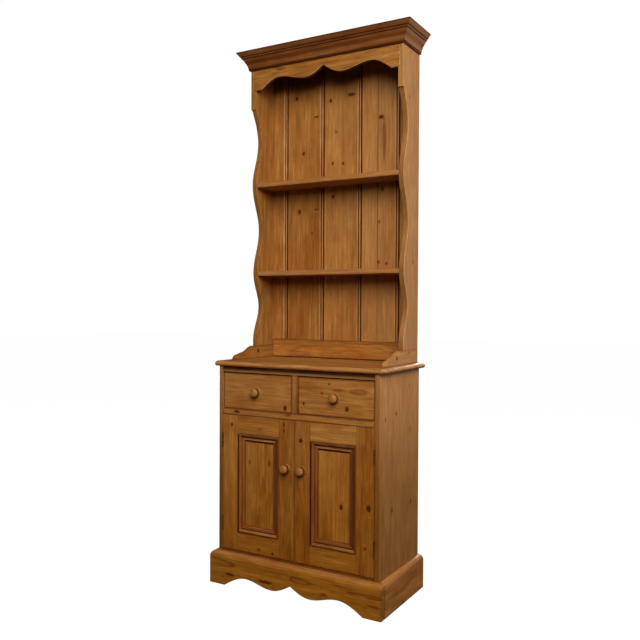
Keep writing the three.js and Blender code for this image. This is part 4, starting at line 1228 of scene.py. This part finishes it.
class DRESSER_OT_plinth(bpy.types.Operator):
    """Build the plinth: a shaped front board and two side boards with a rounded upper edge"""

    bl_idname = "dresser.plinth"
    bl_label = "Plinth"

    def execute(self, context):
        sizes = context.scene.dresser_sizes
        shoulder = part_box("plinth_front")[1].z - sizes.plinth_round
        shaped = self.front_board(sizes, shoulder)
        worn = eased(shaped, sizes.arris)
        worn |= {v for v in shaped.verts if v.co.z > shoulder + WORN_ROUND * sizes.plinth_round}
        finished("plinth_front_piece", shaped, "plinth_front", "pine", 0, worn, sizes.wear, self.on_top)
        for side, sign in SIDES:
            node = f"plinth_side_{side}"
            bm = from_node(node)
            if sign > 0:
                _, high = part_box(node)
                joint = seen_at(*CAP_JOINT, 0, high.x).y
                cutter = block((high.x - sizes.plinth_round, joint - HALF_SAW_CUT, shoulder),
                               (high.x + OVERCUT, joint + HALF_SAW_CUT, high.z + OVERCUT))
                bm = combined(bm, cutter, "DIFFERENCE")
            planed(node, "pine", sizes.fine_arris, along=1, bm=bm, rubbed=self.on_top)
        return {"FINISHED"}

    def front_board(self, sizes, shoulder):
        """The shaped front board, cut to a round along its upper edge and at both upper corners."""
        low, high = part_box("plinth_front")
        curve = fair(face_outline("plinth_front", 1, low.y), sizes.curve_steps)
        level = [p for p in curve if p.y < shoulder - SHOULDER_MARGIN]
        start = max(range(len(level)), key=lambda i: (level[i] - level[i - 1]).length)
        edge = level[start:] + level[:start]
        outline = edge + [Vector((end.x, high.z + OVERCUT)) for end in (edge[-1], edge[0])]
        shaped = prism(outline, low.y, high.y, 1)
        radius = sizes.plinth_round
        front = [(high.y, low.z - OVERCUT), (low.y, low.z - OVERCUT)]
        front += arc((low.y + radius, shoulder), (radius, radius), 2, 1, sizes.round_steps)
        front.append((high.y, high.z))
        across = prism(front, low.x - OVERCUT, high.x + OVERCUT, 0)
        ends = [(high.x, low.z - OVERCUT)]
        ends += arc((high.x - radius, shoulder), (radius, radius), 0, 1, sizes.round_steps)
        ends += [(-x, z) for x, z in reversed(ends)]
        through = prism(ends, low.y - OVERCUT, high.y + OVERCUT, 1)
        return combined(combined(shaped, across, "INTERSECT"), through, "INTERSECT")

    def on_top(self, place):
        """Slight rubbing of the rounded upper edge."""
        upper, lower = PLINTH_RUBBING
        return upper if place.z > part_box("plinth_front")[1].z - PLINTH_RUBBED else lower


class DRESSER_OT_drawers(bpy.types.Operator):
    """Build the drawers: front, box and bottom"""

    bl_idname = "dresser.drawers"
    bl_label = "Drawers"

    def execute(self, context):
        sizes = context.scene.dresser_sizes
        for side, _ in SIDES:
            planed(f"drawer_{side}_front", "pine", sizes.arris, sizes.wear)
            planed(f"drawer_{side}_box", "bare_pine", sizes.fine_arris)
            planed(f"drawer_{side}_bottom", "bare_pine", sizes.fine_arris, along=0)
        return {"FINISHED"}


class DRESSER_OT_doors(bpy.types.Operator):
    """Build the doors: stiles, rails and panels"""

    bl_idname = "dresser.doors"
    bl_label = "Doors"

    def execute(self, context):
        sizes = context.scene.dresser_sizes
        for side, _ in SIDES:
            for part in ("hinge_stile", "meeting_stile"):
                planed(f"door_{side}_{part}", "pine", sizes.flush_arris, sizes.wear / 2, rubbed=faintly)
            for part in ("top_rail", "bottom_rail"):
                planed(f"door_{side}_{part}", "pine", sizes.flush_arris, along=0, rubbed=faintly)
            planed(f"door_{side}_panel", "pine", sizes.fine_arris)
        return {"FINISHED"}


# Lengths of a panel's moulding in order: the corner of the box where each starts, the directions inward from
# that corner, and the direction in which it runs, all as across and up
LENGTHS = (
    ("bottom", (0, 0), (1, 1), (1, 0)), ("right", (1, 0), (-1, 1), (0, 1)),
    ("top", (1, 1), (-1, -1), (-1, 0)), ("left", (0, 1), (1, -1), (0, -1)),
)
MITRE_GAP = 0.08 * MM
# Places of the quirk and of the slope's foot, as shares of the moulding's width from its outer edge
MOULDING_QUIRK_SHARE = 0.43
MOULDING_SLOPE_SHARE = 0.72
SECTION_PITCH = 0.8 * MM
# Painted light and shade on each length of moulding, set by the way it faces, with rubbing and old wax in its
# grooves, from its outer edge to its inner one
MOULDING_LIGHT_AND_WAX = {
    "top": (
        (0.0, -1.0), (0.03, -0.8), (0.08, 0.1), (0.13, 0.5), (0.3, 0.5), (0.36, -0.8), (0.42, -1.0),
        (0.5, -1.0), (0.57, -0.3), (0.64, 0.3), (0.8, 0.5), (0.86, -0.8), (0.92, -1.0), (1.0, -1.0)),
    "bottom": (
        (0.0, -1.0), (0.1, -1.0), (0.16, -0.1), (0.22, 0.2), (0.38, 0.25), (0.43, -0.2), (0.47, -1.0),
        (0.55, -1.0), (0.6, 0.0), (0.7, 0.12), (0.86, 0.15), (0.92, -0.15), (1.0, -0.1)),
    "left": (
        (0.0, -1.0), (0.17, -1.0), (0.23, -0.2), (0.3, 0.0), (0.5, 0.02), (0.55, -0.4), (0.62, -0.4),
        (0.67, 0.05), (0.86, 0.05), (0.92, -0.3), (1.0, -0.2)),
    "right": (
        (0.0, -0.45), (0.1, -0.45), (0.24, -0.25), (0.4, -0.6), (0.6, -0.45), (0.8, -0.35), (0.92, -0.25),
        (1.0, -0.15)),
}


def moulding_section(sizes, height):
    """Section of the panel moulding, as distance in from its outer edge and height over the panel."""
    bead = sizes.moulding_bead / 2
    width, lip, strip = sizes.moulding_width, sizes.moulding_lip, sizes.moulding_strip
    steps = 2 * sizes.round_steps
    start = (sizes.moulding_bead, height - bead)
    foot = (width * MOULDING_SLOPE_SHARE, sizes.moulding_slope_foot)
    section = [(0, 0)] + arc((bead, height - bead), (bead, bead), 2, 0, steps)
    for i in range(1, steps + 1):
        share = i / steps
        across = start[0] + (foot[0] - start[0]) * share
        quirk = max(0.0, sizes.moulding_quirk - abs(across - width * MOULDING_QUIRK_SHARE))
        section.append((across, start[1] + (foot[1] - start[1]) * math.sin(share * math.pi / 2) - quirk))
    radii = (sizes.moulding_inner_width / 2, sizes.moulding_inner_height - lip)
    section += arc((foot[0] + radii[0], lip), radii, 2, 0, steps)
    inner = width + sizes.moulding_fillet
    return section + [(width, lip), (width, strip), (inner, strip), (inner, 0)]


class DRESSER_OT_mouldings(bpy.types.Operator):
    """Build the mouldings round the doors' panels: four mitred lengths to a door"""

    bl_idname = "dresser.mouldings"
    bl_label = "Panel mouldings"

    def execute(self, context):
        sizes = context.scene.dresser_sizes
        for side, _ in SIDES:
            node = f"door_{side}_moulding"
            low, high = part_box(node)
            section = closely(moulding_section(sizes, high.y - low.y), SECTION_PITCH)
            for i, (name, corner, inward, run) in enumerate(LENGTHS):
                # Painted highlights and shade, with rubbing and old wax, across the section
                wax = [level_at(MOULDING_LIGHT_AND_WAX[name], across / sizes.moulding_width) for across, _ in section]
                _, end_corner, end_inward, _ = LENGTHS[(i + 1) % 4]
                ends = []
                for at, into, shift in ((corner, inward, MITRE_GAP), (end_corner, end_inward, -MITRE_GAP)):
                    x = (low, high)[at[0]].x + run[0] * shift
                    z = (low, high)[at[1]].z + run[1] * shift
                    ends.append([Vector((x + into[0] * a, high.y - h, z + into[1] * a)) for a, h in section])
                along = 0 if run[0] else 2
                finished(f"{node}_{name}", lofted(ends), node, "red_pine", along=along, wax=wax)
        return {"FINISHED"}


# Turned knob, as radius and reach in shares of the head's radius and the knob's whole reach
KNOB_COLLAR_SHARES = ((0.86, 0.01), (0.93, 0.06), (0.95, 0.13), (0.9, 0.2), (0.78, 0.24))
KNOB_NECK_SHARES = ((0.58, 0.27), (0.5, 0.33), (0.5, 0.4), (0.58, 0.45))
KNOB_HEAD_SHARES = (
    (0.74, 0.49), (0.83, 0.55), (0.87, 0.65), (0.84, 0.78), (0.73, 0.88), (0.55, 0.95), (0.32, 0.985),
    (0.14, 0.998))
# Steps between those points, the spigot's radius, and the knob's flat seat: its share of the head's radius,
# and how far it stands off the front
KNOB_STEPS = 4
SPIGOT = 6 * MM
KNOB_SEAT_SHARE = 0.8
KNOB_SEAT_GAP = 0.3 * MM

# Rubbing of a knob, and painted shade with old wax in its neck and at its seat, as shares of its reach out
# from the front
KNOB_SHADE_AND_WAX = ((0.0, -1.0), (0.05, -0.2), (0.12, 0.35), (0.18, 0.2), (0.25, -0.8), (0.33, -1.0), (0.44, -1.0),
              (0.54, -0.5), (0.64, -0.1), (0.8, 0.2), (1.0, 0.1))


def knob_seat(node):
    """The front face that a knob stands on."""
    body = frame["nodes"][node]["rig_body"]
    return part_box(f"{body}_front" if body.startswith("drawer") else f"{body}_meeting_stile")[0].y


def knob_mesh(node, sizes, seat):
    """A knob turned about its own axis, with a spigot that enters the front."""
    low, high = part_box(node)
    x, z = (low.x + high.x) / 2, (low.z + high.z) / 2
    head = (high.x - low.x) / 2
    reach = seat - low.y
    shares = KNOB_COLLAR_SHARES + KNOB_NECK_SHARES + KNOB_HEAD_SHARES
    controls = [Vector((head * a, reach * b)) for a, b in shares] + [Vector((0, reach))]
    profile = []
    for i in range(len(controls) - 1):
        p0 = controls[i - 1] if i else controls[0] * 2 - controls[1]
        last = i + 2 >= len(controls)
        p3 = Vector((-controls[i].x, controls[i].y)) if last else controls[i + 2]
        for step in range(KNOB_STEPS):
            profile.append(curve_point(p0, controls[i], controls[i + 1], p3, step / KNOB_STEPS))
    profile = [(p.x, min(p.y, reach)) for p in profile + [controls[-1]]]
    foot = [(SPIGOT, seat - high.y), (SPIGOT, KNOB_SEAT_GAP), (head * KNOB_SEAT_SHARE, KNOB_SEAT_GAP)]
    bm = bmesh.new()
    turned(bm, foot + profile, sizes.turned_sides, lambda a, b, out: (x + a, seat - out, z + b), pointed=True)
    return bm


class DRESSER_OT_knobs(bpy.types.Operator):
    """Turn the four knobs"""

    bl_idname = "dresser.knobs"
    bl_label = "Knobs"

    def execute(self, context):
        sizes = context.scene.dresser_sizes
        for kind in ("drawer", "door"):
            for side, _ in SIDES:
                node = f"{kind}_{side}_knob"
                seat = knob_seat(node)
                bm = knob_mesh(node, sizes, seat)
                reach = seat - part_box(node)[0].y
                # Painted shade with old wax in the neck and at the seat
                finished(f"{node}_piece", bm, node, "pine", 1, set(bm.verts),
                         rubbed=lambda place: level_at(KNOB_SHADE_AND_WAX, (seat - place.y) / reach))
        return {"FINISHED"}


# Screws in a leaf: the height of each as a share of the leaf's height, and its distance in from the rear edge
# as a share of the leaf's depth
SCREWS = ((0.18, 11 / 28), (0.5, 3 / 14), (0.82, 11 / 28))
# A screw's head, as shares of its radius and heights over the leaf, and the depth of leaf that is all plate
SCREW_ROWS = ((1.0, -0.3 * MM), (1.0, 0.02 * MM), (0.9, 0.1 * MM), (0.45, 0.16 * MM))
SCREW_SIDES = 24
LEAF_PLATE = 1 * MM


class DRESSER_OT_hinges(bpy.types.Operator):
    """Finish the hinges and set three screws in each leaf"""

    bl_idname = "dresser.hinges"
    bl_label = "Hinges"

    def execute(self, context):
        sizes = context.scene.dresser_sizes
        brass = bpy.data.materials[FINISHES["brass"]]
        for side, sign in SIDES:
            for place in ("lower", "upper"):
                for leaf, outward in (("case_leaf", -sign), ("door_leaf", sign)):
                    node = f"hinge_{side}_{place}_{leaf}"
                    ob = frame["nodes"][node]
                    for slot in ob.material_slots:
                        slot.material = brass
                    self.screws(node, outward, sizes.screw_head, brass)
        return {"FINISHED"}

    def screws(self, node, outward, radius, brass):
        """Slightly domed heads on the face that a leaf turns to the other leaf."""
        low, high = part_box(node)
        face = self.leaf_face(node, outward)
        bm = bmesh.new()
        for up, in_from_rear in SCREWS:
            y = high.y - in_from_rear * (high.y - low.y)
            z = low.z + up * (high.z - low.z)
            rows = [(share * radius, out) for share, out in SCREW_ROWS]
            turned(bm, rows, SCREW_SIDES, lambda a, b, out: (face + outward * out, y + a, z + b))
        ob = new_object(f"{node}_screws", bm)
        ob.data.materials.append(brass)
        shaded(ob)
        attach(ob, frame["nodes"][node]["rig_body"])

    def leaf_face(self, node, outward):
        """Place of the flat face of a leaf's plate, well behind its knuckles."""
        _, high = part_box(node)
        levels = [v.co.x for v in frame["nodes"][node].data.vertices if v.co.y > high.y - LEAF_PLATE]
        return max(levels) if outward > 0 else min(levels)


# Rack
# Gap round the apron where it is let into the sides, how far the cutter reaches past them, the turn in
# degrees where their other edges are eased, the steps of the round along their fronts, the outer strip of the
# right side that is rubbed, how much it is rubbed there and inside, and how far an edge may lean and still
# run straight up
APRON_GAP = 0.3 * MM
NOTCH_OVERCUT = 5 * MM
EASED_TURN = 50
SIDE_ROUND_STEPS = 3
OUTER_STRIP = 5 * MM
OUTER_RUBBING = (0.5, 0.05)
STRAIGHT_UP = 0.1 * MM


class DRESSER_OT_rack_sides(bpy.types.Operator):
    """Build the rack's scalloped sides, notched at the top for the apron"""

    bl_idname = "dresser.rack_sides"
    bl_label = "Rack sides"

    def execute(self, context):
        sizes = context.scene.dresser_sizes
        apron_low, apron_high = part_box("rack_apron")
        for side, sign in SIDES:
            node = f"rack_side_{side}"
            low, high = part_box(node)
            outer, inner = (high.x, low.x) if sign > 0 else (low.x, high.x)
            outline = fair(face_outline(node, 0, outer), sizes.curve_steps)
            bm = prism(outline, inner, outer, 0)
            edge = apron_high.x if sign > 0 else apron_low.x
            x = sorted((inner - sign * NOTCH_OVERCUT, edge + sign * APRON_GAP))
            cutter = block((x[0], low.y - NOTCH_OVERCUT, apron_low.z - APRON_GAP),
                           (x[1], apron_high.y + APRON_GAP, high.z + NOTCH_OVERCUT))
            bm = combined(bm, cutter, "DIFFERENCE")
            depths = [v.co.y for v in bm.verts]
            middle = (min(depths) + max(depths)) / 2
            worn = eased(bm, sizes.side_round, SIDE_ROUND_STEPS, chosen=lambda e: self.on_front(e, middle))
            worn |= eased(bm, sizes.arris, limit=EASED_TURN)
            rubbed = faintly if sign < 0 else self.outside
            finished(f"{node}_piece", bm, node, "pine", 2, worn, sizes.wear, rubbed)
        return {"FINISHED"}

    def outside(self, place):
        """Rubbing of the right side, whose outer corners are the palest."""
        outer, inner = OUTER_RUBBING
        return outer if place.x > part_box("rack_side_right")[1].x - OUTER_STRIP else inner

    def on_front(self, edge, middle):
        """Whether an edge runs up the scalloped front."""
        a, b = (v.co for v in edge.verts)
        rising = abs(a.x - b.x) < STRAIGHT_UP and abs(a.z - b.z) > STRAIGHT_UP
        return rising and max(a.y, b.y) < middle


class DRESSER_OT_rack_feet(bpy.types.Operator):
    """Build the scrolled feet that the rack's sides stand on"""

    bl_idname = "dresser.rack_feet"
    bl_label = "Rack feet"

    def execute(self, context):
        sizes = context.scene.dresser_sizes
        for side, sign in SIDES:
            node = f"rack_foot_{side}"
            low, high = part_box(node)
            outline = fair(face_outline(node, 0, high.x if sign > 0 else low.x), sizes.curve_steps)
            bm = prism(outline, low.x, high.x, 0)
            worn = eased(bm, sizes.arris)
            finished(f"{node}_piece", bm, node, "pine", 1, worn, sizes.wear)
        return {"FINISHED"}


# Pale painted reflection of the floor on the lower parts of shelves and apron, and slight rubbing on their
# upper parts
LOWER_EDGE_REFLECTION = 0.9
UPPER_PART_RUBBING = 0.1


def below(height):
    """Pale lower edges of a piece, a painted reflection of the floor, with slight rubbing above them."""
    def rubbed(place):
        return LOWER_EDGE_REFLECTION if place.z < height else UPPER_PART_RUBBING
    return rubbed


class DRESSER_OT_rack_shelves(bpy.types.Operator):
    """Build the rack's two shelves and the lid over it"""

    bl_idname = "dresser.rack_shelves"
    bl_label = "Rack shelves"

    def execute(self, context):
        sizes = context.scene.dresser_sizes
        for node in ("rack_shelf_lower", "rack_shelf_upper"):
            low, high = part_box(node)
            # Pale lower edges: a painted reflection of the floor
            planed(node, "pine", 2 * sizes.arris, sizes.wear, rubbed=below((low.z + high.z) / 2))
        planed("rack_top", "bare_pine", sizes.fine_arris)
        return {"FINISHED"}


# Rubbing along the crown of a bead, over the old wax and painted shade beside it
BEAD_RUBBING = 1.1


class DRESSER_OT_rack_back(bpy.types.Operator):
    """Build the rack's beaded back boards and the rail along their foot"""

    bl_idname = "dresser.rack_back"
    bl_label = "Rack back"

    def execute(self, context):
        sizes = context.scene.dresser_sizes
        nodes = sorted(n for n in frame["nodes"] if n.startswith("rack_back_board_"))
        for i, node in enumerate(nodes):
            low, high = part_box(node)
            rim = self.left_edge(sizes, low, node == nodes[0])
            if node == nodes[-1]:
                rim.append((high.x, low.y, 0.0))
            else:
                rim += self.right_edge(sizes, low, high, JOINT_SLOPE_LIGHT[i])
            rim += [(high.x, high.y, 0.0), (low.x, high.y, 0.0)]
            bm = prism([(x, y) for x, y, _ in rim], low.z, high.z, 2)
            finished(f"{node}_piece", bm, node, "pine", along=2, wax=[level for _, _, level in rim])
        bm = from_node("rack_back_rail")
        eased(bm, sizes.arris)
        # Painted shade with old wax along the back rail's foot, where it meets the worktop
        rubbed = banded(bm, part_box("rack_back_rail")[0].z, 1, BACK_RAIL_SHADE_AND_WAX)
        finished("rack_back_rail_piece", bm, "rack_back_rail", "pine", 0, set(bm.verts), rubbed=rubbed)
        return {"FINISHED"}

    def left_edge(self, sizes, low, plain):
        """Chamfer of a board's left edge, as across, back and how rubbed, with old wax and painted shade
        below nought.
        """
        if plain:
            fine = sizes.fine_arris
            return [(low.x, low.y + fine, -0.5), (low.x + fine, low.y, -0.3), (low.x + 4 * fine, low.y, 0.0)]
        width, depth = sizes.chamfer_width, sizes.chamfer_depth
        return [
            (low.x, low.y + depth, -1.0), (low.x + width / 2, low.y + depth / 2, -0.95),
            (low.x + width, low.y, -0.8), (low.x + width + sizes.arris, low.y, 0.0),
        ]

    def right_edge(self, sizes, low, high, rubbing):
        """Slope, groove and bead of a board's right edge, written in the same way."""
        bead = sizes.board_bead
        quirk = high.x - 2 * bead - sizes.quirk_width
        # Painted light on the slope, and old wax with painted shade in the groove
        rim = [
            (quirk - sizes.slope_width, low.y, -0.1),
            (quirk - sizes.slope_width / 2, low.y + sizes.slope_depth / 2, rubbing / 2),
            (quirk, low.y + sizes.slope_depth, rubbing),
            (quirk + sizes.quirk_width / 4, low.y + (sizes.slope_depth + sizes.quirk_depth) / 2, -0.8),
            (quirk + sizes.quirk_width / 2, low.y + sizes.quirk_depth, -1.0),
        ]
        round_points = arc((high.x - bead, low.y + bead), (bead, bead), -2, 0, 2 * sizes.round_steps)
        for i, (x, y) in enumerate(round_points):
            crown = math.sin(math.pi * i / (len(round_points) - 1))
            rim.append((x, y, BEAD_RUBBING * math.sqrt(crown) - 1))
        return rim


# Upper strip of the apron, with slight rubbing but no painted reflection, and the steps of the round along
# its lower edge
APRON_UPPER_STRIP = 15 * MM
APRON_ROUND_STEPS = 4


class DRESSER_OT_apron(bpy.types.Operator):
    """Build the shaped apron under the cornice"""

    bl_idname = "dresser.apron"
    bl_label = "Apron"

    def execute(self, context):
        sizes = context.scene.dresser_sizes
        low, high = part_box("rack_apron")
        outline = fair(face_outline("rack_apron", 1, low.y), sizes.curve_steps)
        bm = prism(outline, low.y, high.y, 1)
        worn = eased(bm, 2 * sizes.arris, APRON_ROUND_STEPS)
        # Pale lower edge: a painted reflection of the floor
        rubbed = below(high.z - APRON_UPPER_STRIP)
        finished("rack_apron_piece", bm, "rack_apron", "pine", 0, worn, sizes.wear, rubbed)
        return {"FINISHED"}


# Cornice, as distance out and height in shares of its projection and its height
CORNICE_COVE_SHARES = ((0.17, 0.13), (0.21, 0.316), (0.57, 0.64))
CORNICE_STEP_SHARES = ((0.624, 0.647), (0.679, 0.737), (0.726, 0.744), (0.869, 0.872))
CORNICE_GAP = 0.3 * MM * math.sqrt(2)
# Rubbing of the cornice, and painted shade in its cove and under its members with old wax, from its foot to
# its top
CORNICE_SHADE_AND_WAX = (
    (0.0, -0.9), (0.1, -0.7), (0.14, 0.0), (0.3, 0.1), (0.38, -0.45), (0.47, -0.45), (0.52, 0.0),
    (0.615, 0.0), (0.645, -1.0), (0.675, -0.3), (0.73, -0.3), (0.76, -1.0), (0.79, 0.0), (0.93, 0.05),
    (0.965, -0.6), (1.0, -1.0),
)


def cornice_section(sizes, projection, height):
    """Section of the cornice from its inner foot out and up to the top of its fascia."""
    def place(shares):
        return Vector((shares[0] * projection, shares[1] * height))
    start, pull, end = (place(shares) for shares in CORNICE_COVE_SHARES)
    bead = sizes.cornice_bead
    steps = 2 * sizes.round_steps
    section = [(0, 0)] + arc((bead, bead), (bead, bead), -1, 1, steps) + [(start.x, 2 * bead)]
    for i in range(steps + 1):
        t = i / steps
        section.append(tuple(start * (1 - t) ** 2 + pull * 2 * t * (1 - t) + end * t * t))
    section += [tuple(place(shares)) for shares in CORNICE_STEP_SHARES]
    lip = sizes.arris
    return section + [(projection, height - lip), (projection - lip, height), (0, height)]


class DRESSER_OT_cornice(bpy.types.Operator):
    """Build the cornice: a front and two returns, mitred at the corners"""

    bl_idname = "dresser.cornice"
    bl_label = "Cornice"

    def execute(self, context):
        sizes = context.scene.dresser_sizes
        low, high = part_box("cornice_front")
        projection = high.y - low.y
        height = high.z - low.z
        section = closely(cornice_section(sizes, projection, height), SECTION_PITCH)
        # Painted shade in the cove and under the members, with old wax
        wax = [level_at(CORNICE_SHADE_AND_WAX, up / height) for _, up in section]
        seat = high.x - projection

        def mitred(sign, gap=0.0):
            return [Vector((sign * (seat + out), high.y - out + gap, low.z + up)) for out, up in section]
        front = lofted([mitred(-1), mitred(1)])
        finished("cornice_front_piece", front, "cornice_front", "red_pine", along=0, wax=wax)
        for side, sign in SIDES:
            node = f"cornice_{side}"
            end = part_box(node)[1].y
            near = mitred(sign, CORNICE_GAP)
            far = [Vector((point.x, end, point.z)) for point in near]
            finished(f"{node}_piece", lofted([near, far]), node, "red_pine", along=1, wax=wax)
        return {"FINISHED"}


# Stage
# Each soft light's place, the point that it faces, and its width and height
LIGHTS = {
    "key": ((1.75, -3.15, 3.0), (0, 0, 1.2), 2.4, 2.4),
    "side": ((2.81, -0.7, 2.3), (0.2, 0, 1.1), 1.6, 1.6),
    "veil": ((1.7, 3.1, 1.75), (0.3, 0, 1.0), 1.8, 2.9),
    "back": ((-0.4, 3.6, 2.2), (0, 0.1, 1.0), 1.2, 2.2),
    "left": ((-3.2, 0.9, 0.45), (-0.3, 0.1, 1.0), 1.6, 0.6),
}
WHITE = (1, 1, 1, 1)
FLOOR_ROUGHNESS = 0.8
FARTHEST_SEEN = 100


def panel_of_light(name, place, target, width, height, power):
    """A soft rectangular light that faces a point."""
    light = bpy.data.lights.new(name, "AREA")
    light.shape = "RECTANGLE"
    light.size = width
    light.size_y = height
    light.energy = power
    ob = linked(name, light)
    ob.location = place
    ob.rotation_euler = (Vector(target) - Vector(place)).to_track_quat("-Z", "Y").to_euler()
    ob.visible_camera = False


class DRESSER_OT_stage(bpy.types.Operator):
    """Set the floor, the lights and the camera"""

    bl_idname = "dresser.stage"
    bl_label = "Stage"

    def execute(self, context):
        stage = context.scene.dresser_stage
        self.floor(stage)
        self.sky(context, stage)
        for name, setting in LIGHTS.items():
            panel_of_light(name, *setting, getattr(stage, f"{name}_power"))
        self.camera(context, stage)
        return {"FINISHED"}

    def floor(self, stage):
        """A wide plain floor, which shows pale to the camera alone."""
        half = stage.floor_size / 2
        mesh = bpy.data.meshes.new("floor")
        corners = [(-half, -half, 0), (half, -half, 0), (half, half, 0), (-half, half, 0)]
        mesh.from_pydata(corners, [], [(0, 1, 2, 3)])
        ob = linked("floor", mesh)
        graph = new_finish("floor")
        seen = graph.node("ShaderNodeLightPath").outputs["Is Camera Ray"]
        graph.surface({
            "Base Color": stage.floor_colour,
            "Roughness": FLOOR_ROUGHNESS,
            "Specular IOR Level": 0.0,
            "Emission Color": WHITE,
            "Emission Strength": graph.times(seen, stage.floor_glow),
        })
        mesh.materials.append(bpy.data.materials["floor"])

    def sky(self, context, stage):
        """An even dim light from all round, behind which the camera sees white."""
        world = bpy.data.worlds.new("sky")
        world.use_nodes = True
        graph = Graph(world.node_tree)
        path = graph.node("ShaderNodeLightPath")
        lighting = graph.fed("ShaderNodeBackground", (WHITE, stage.sky_power))
        backdrop = graph.fed("ShaderNodeBackground", (WHITE, 1.0))
        parts = (path.outputs["Is Camera Ray"], lighting.outputs[0], backdrop.outputs[0])
        mixer = graph.fed("ShaderNodeMixShader", parts)
        graph.fed("ShaderNodeOutputWorld", (mixer.outputs[0],))
        context.scene.world = world

    def camera(self, context, stage):
        """The camera where the photograph was taken from."""
        data = bpy.data.cameras.new("camera")
        data.sensor_width = SENSOR_WIDTH
        data.lens = stage.focal_pixels / PICTURE_PIXELS * SENSOR_WIDTH
        data.clip_end = FARTHEST_SEEN
        ob = linked("camera", data)
        right, up, forward = camera_axes(stage)
        looking = Matrix((right, up, -forward)).transposed().to_4x4()
        ob.matrix_world = Matrix.Translation(Vector(stage.camera_place)) @ looking
        context.scene.camera = ob
        context.scene.view_settings.view_transform = "Standard"


class DRESSER_PT_panel(bpy.types.Panel):
    """Lists the sizes, colours and steps of the dresser"""

    bl_idname = "DRESSER_PT_panel"
    bl_label = "Dresser"
    bl_space_type = "VIEW_3D"
    bl_region_type = "UI"
    bl_category = "Dresser"

    def draw(self, context):
        layout = self.layout
        for group in ("dresser_sizes", "dresser_colours", "dresser_stage"):
            settings = getattr(context.scene, group)
            box = layout.box()
            for key in settings.__annotations__:
                box.prop(settings, key)
        for operator in STEPS:
            layout.operator(operator.bl_idname)


GROUPS = (
    ("dresser_sizes", DresserSizes),
    ("dresser_colours", DresserColours),
    ("dresser_stage", DresserStage),
)
STEPS = (
    DRESSER_OT_stage,
    DRESSER_OT_finishes,
    DRESSER_OT_case,
    DRESSER_OT_inside,
    DRESSER_OT_worktop,
    DRESSER_OT_plinth,
    DRESSER_OT_drawers,
    DRESSER_OT_doors,
    DRESSER_OT_mouldings,
    DRESSER_OT_knobs,
    DRESSER_OT_hinges,
    DRESSER_OT_rack_sides,
    DRESSER_OT_rack_feet,
    DRESSER_OT_rack_shelves,
    DRESSER_OT_rack_back,
    DRESSER_OT_apron,
    DRESSER_OT_cornice,
)


def register():
    for name, group in GROUPS:
        bpy.utils.register_class(group)
        setattr(bpy.types.Scene, name, bpy.props.PointerProperty(type=group))
    for step in STEPS:
        bpy.utils.register_class(step)
    bpy.utils.register_class(DRESSER_PT_panel)


def unregister():
    bpy.utils.unregister_class(DRESSER_PT_panel)
    for step in reversed(STEPS):
        bpy.utils.unregister_class(step)
    for name, group in reversed(GROUPS):
        delattr(bpy.types.Scene, name)
        bpy.utils.unregister_class(group)


def main():
    """Runs every step in order."""
    register()
    for step in STEPS:
        group, name = step.bl_idname.split(".")
        getattr(getattr(bpy.ops, group), name)()


if __name__ == "__main__":
    main()
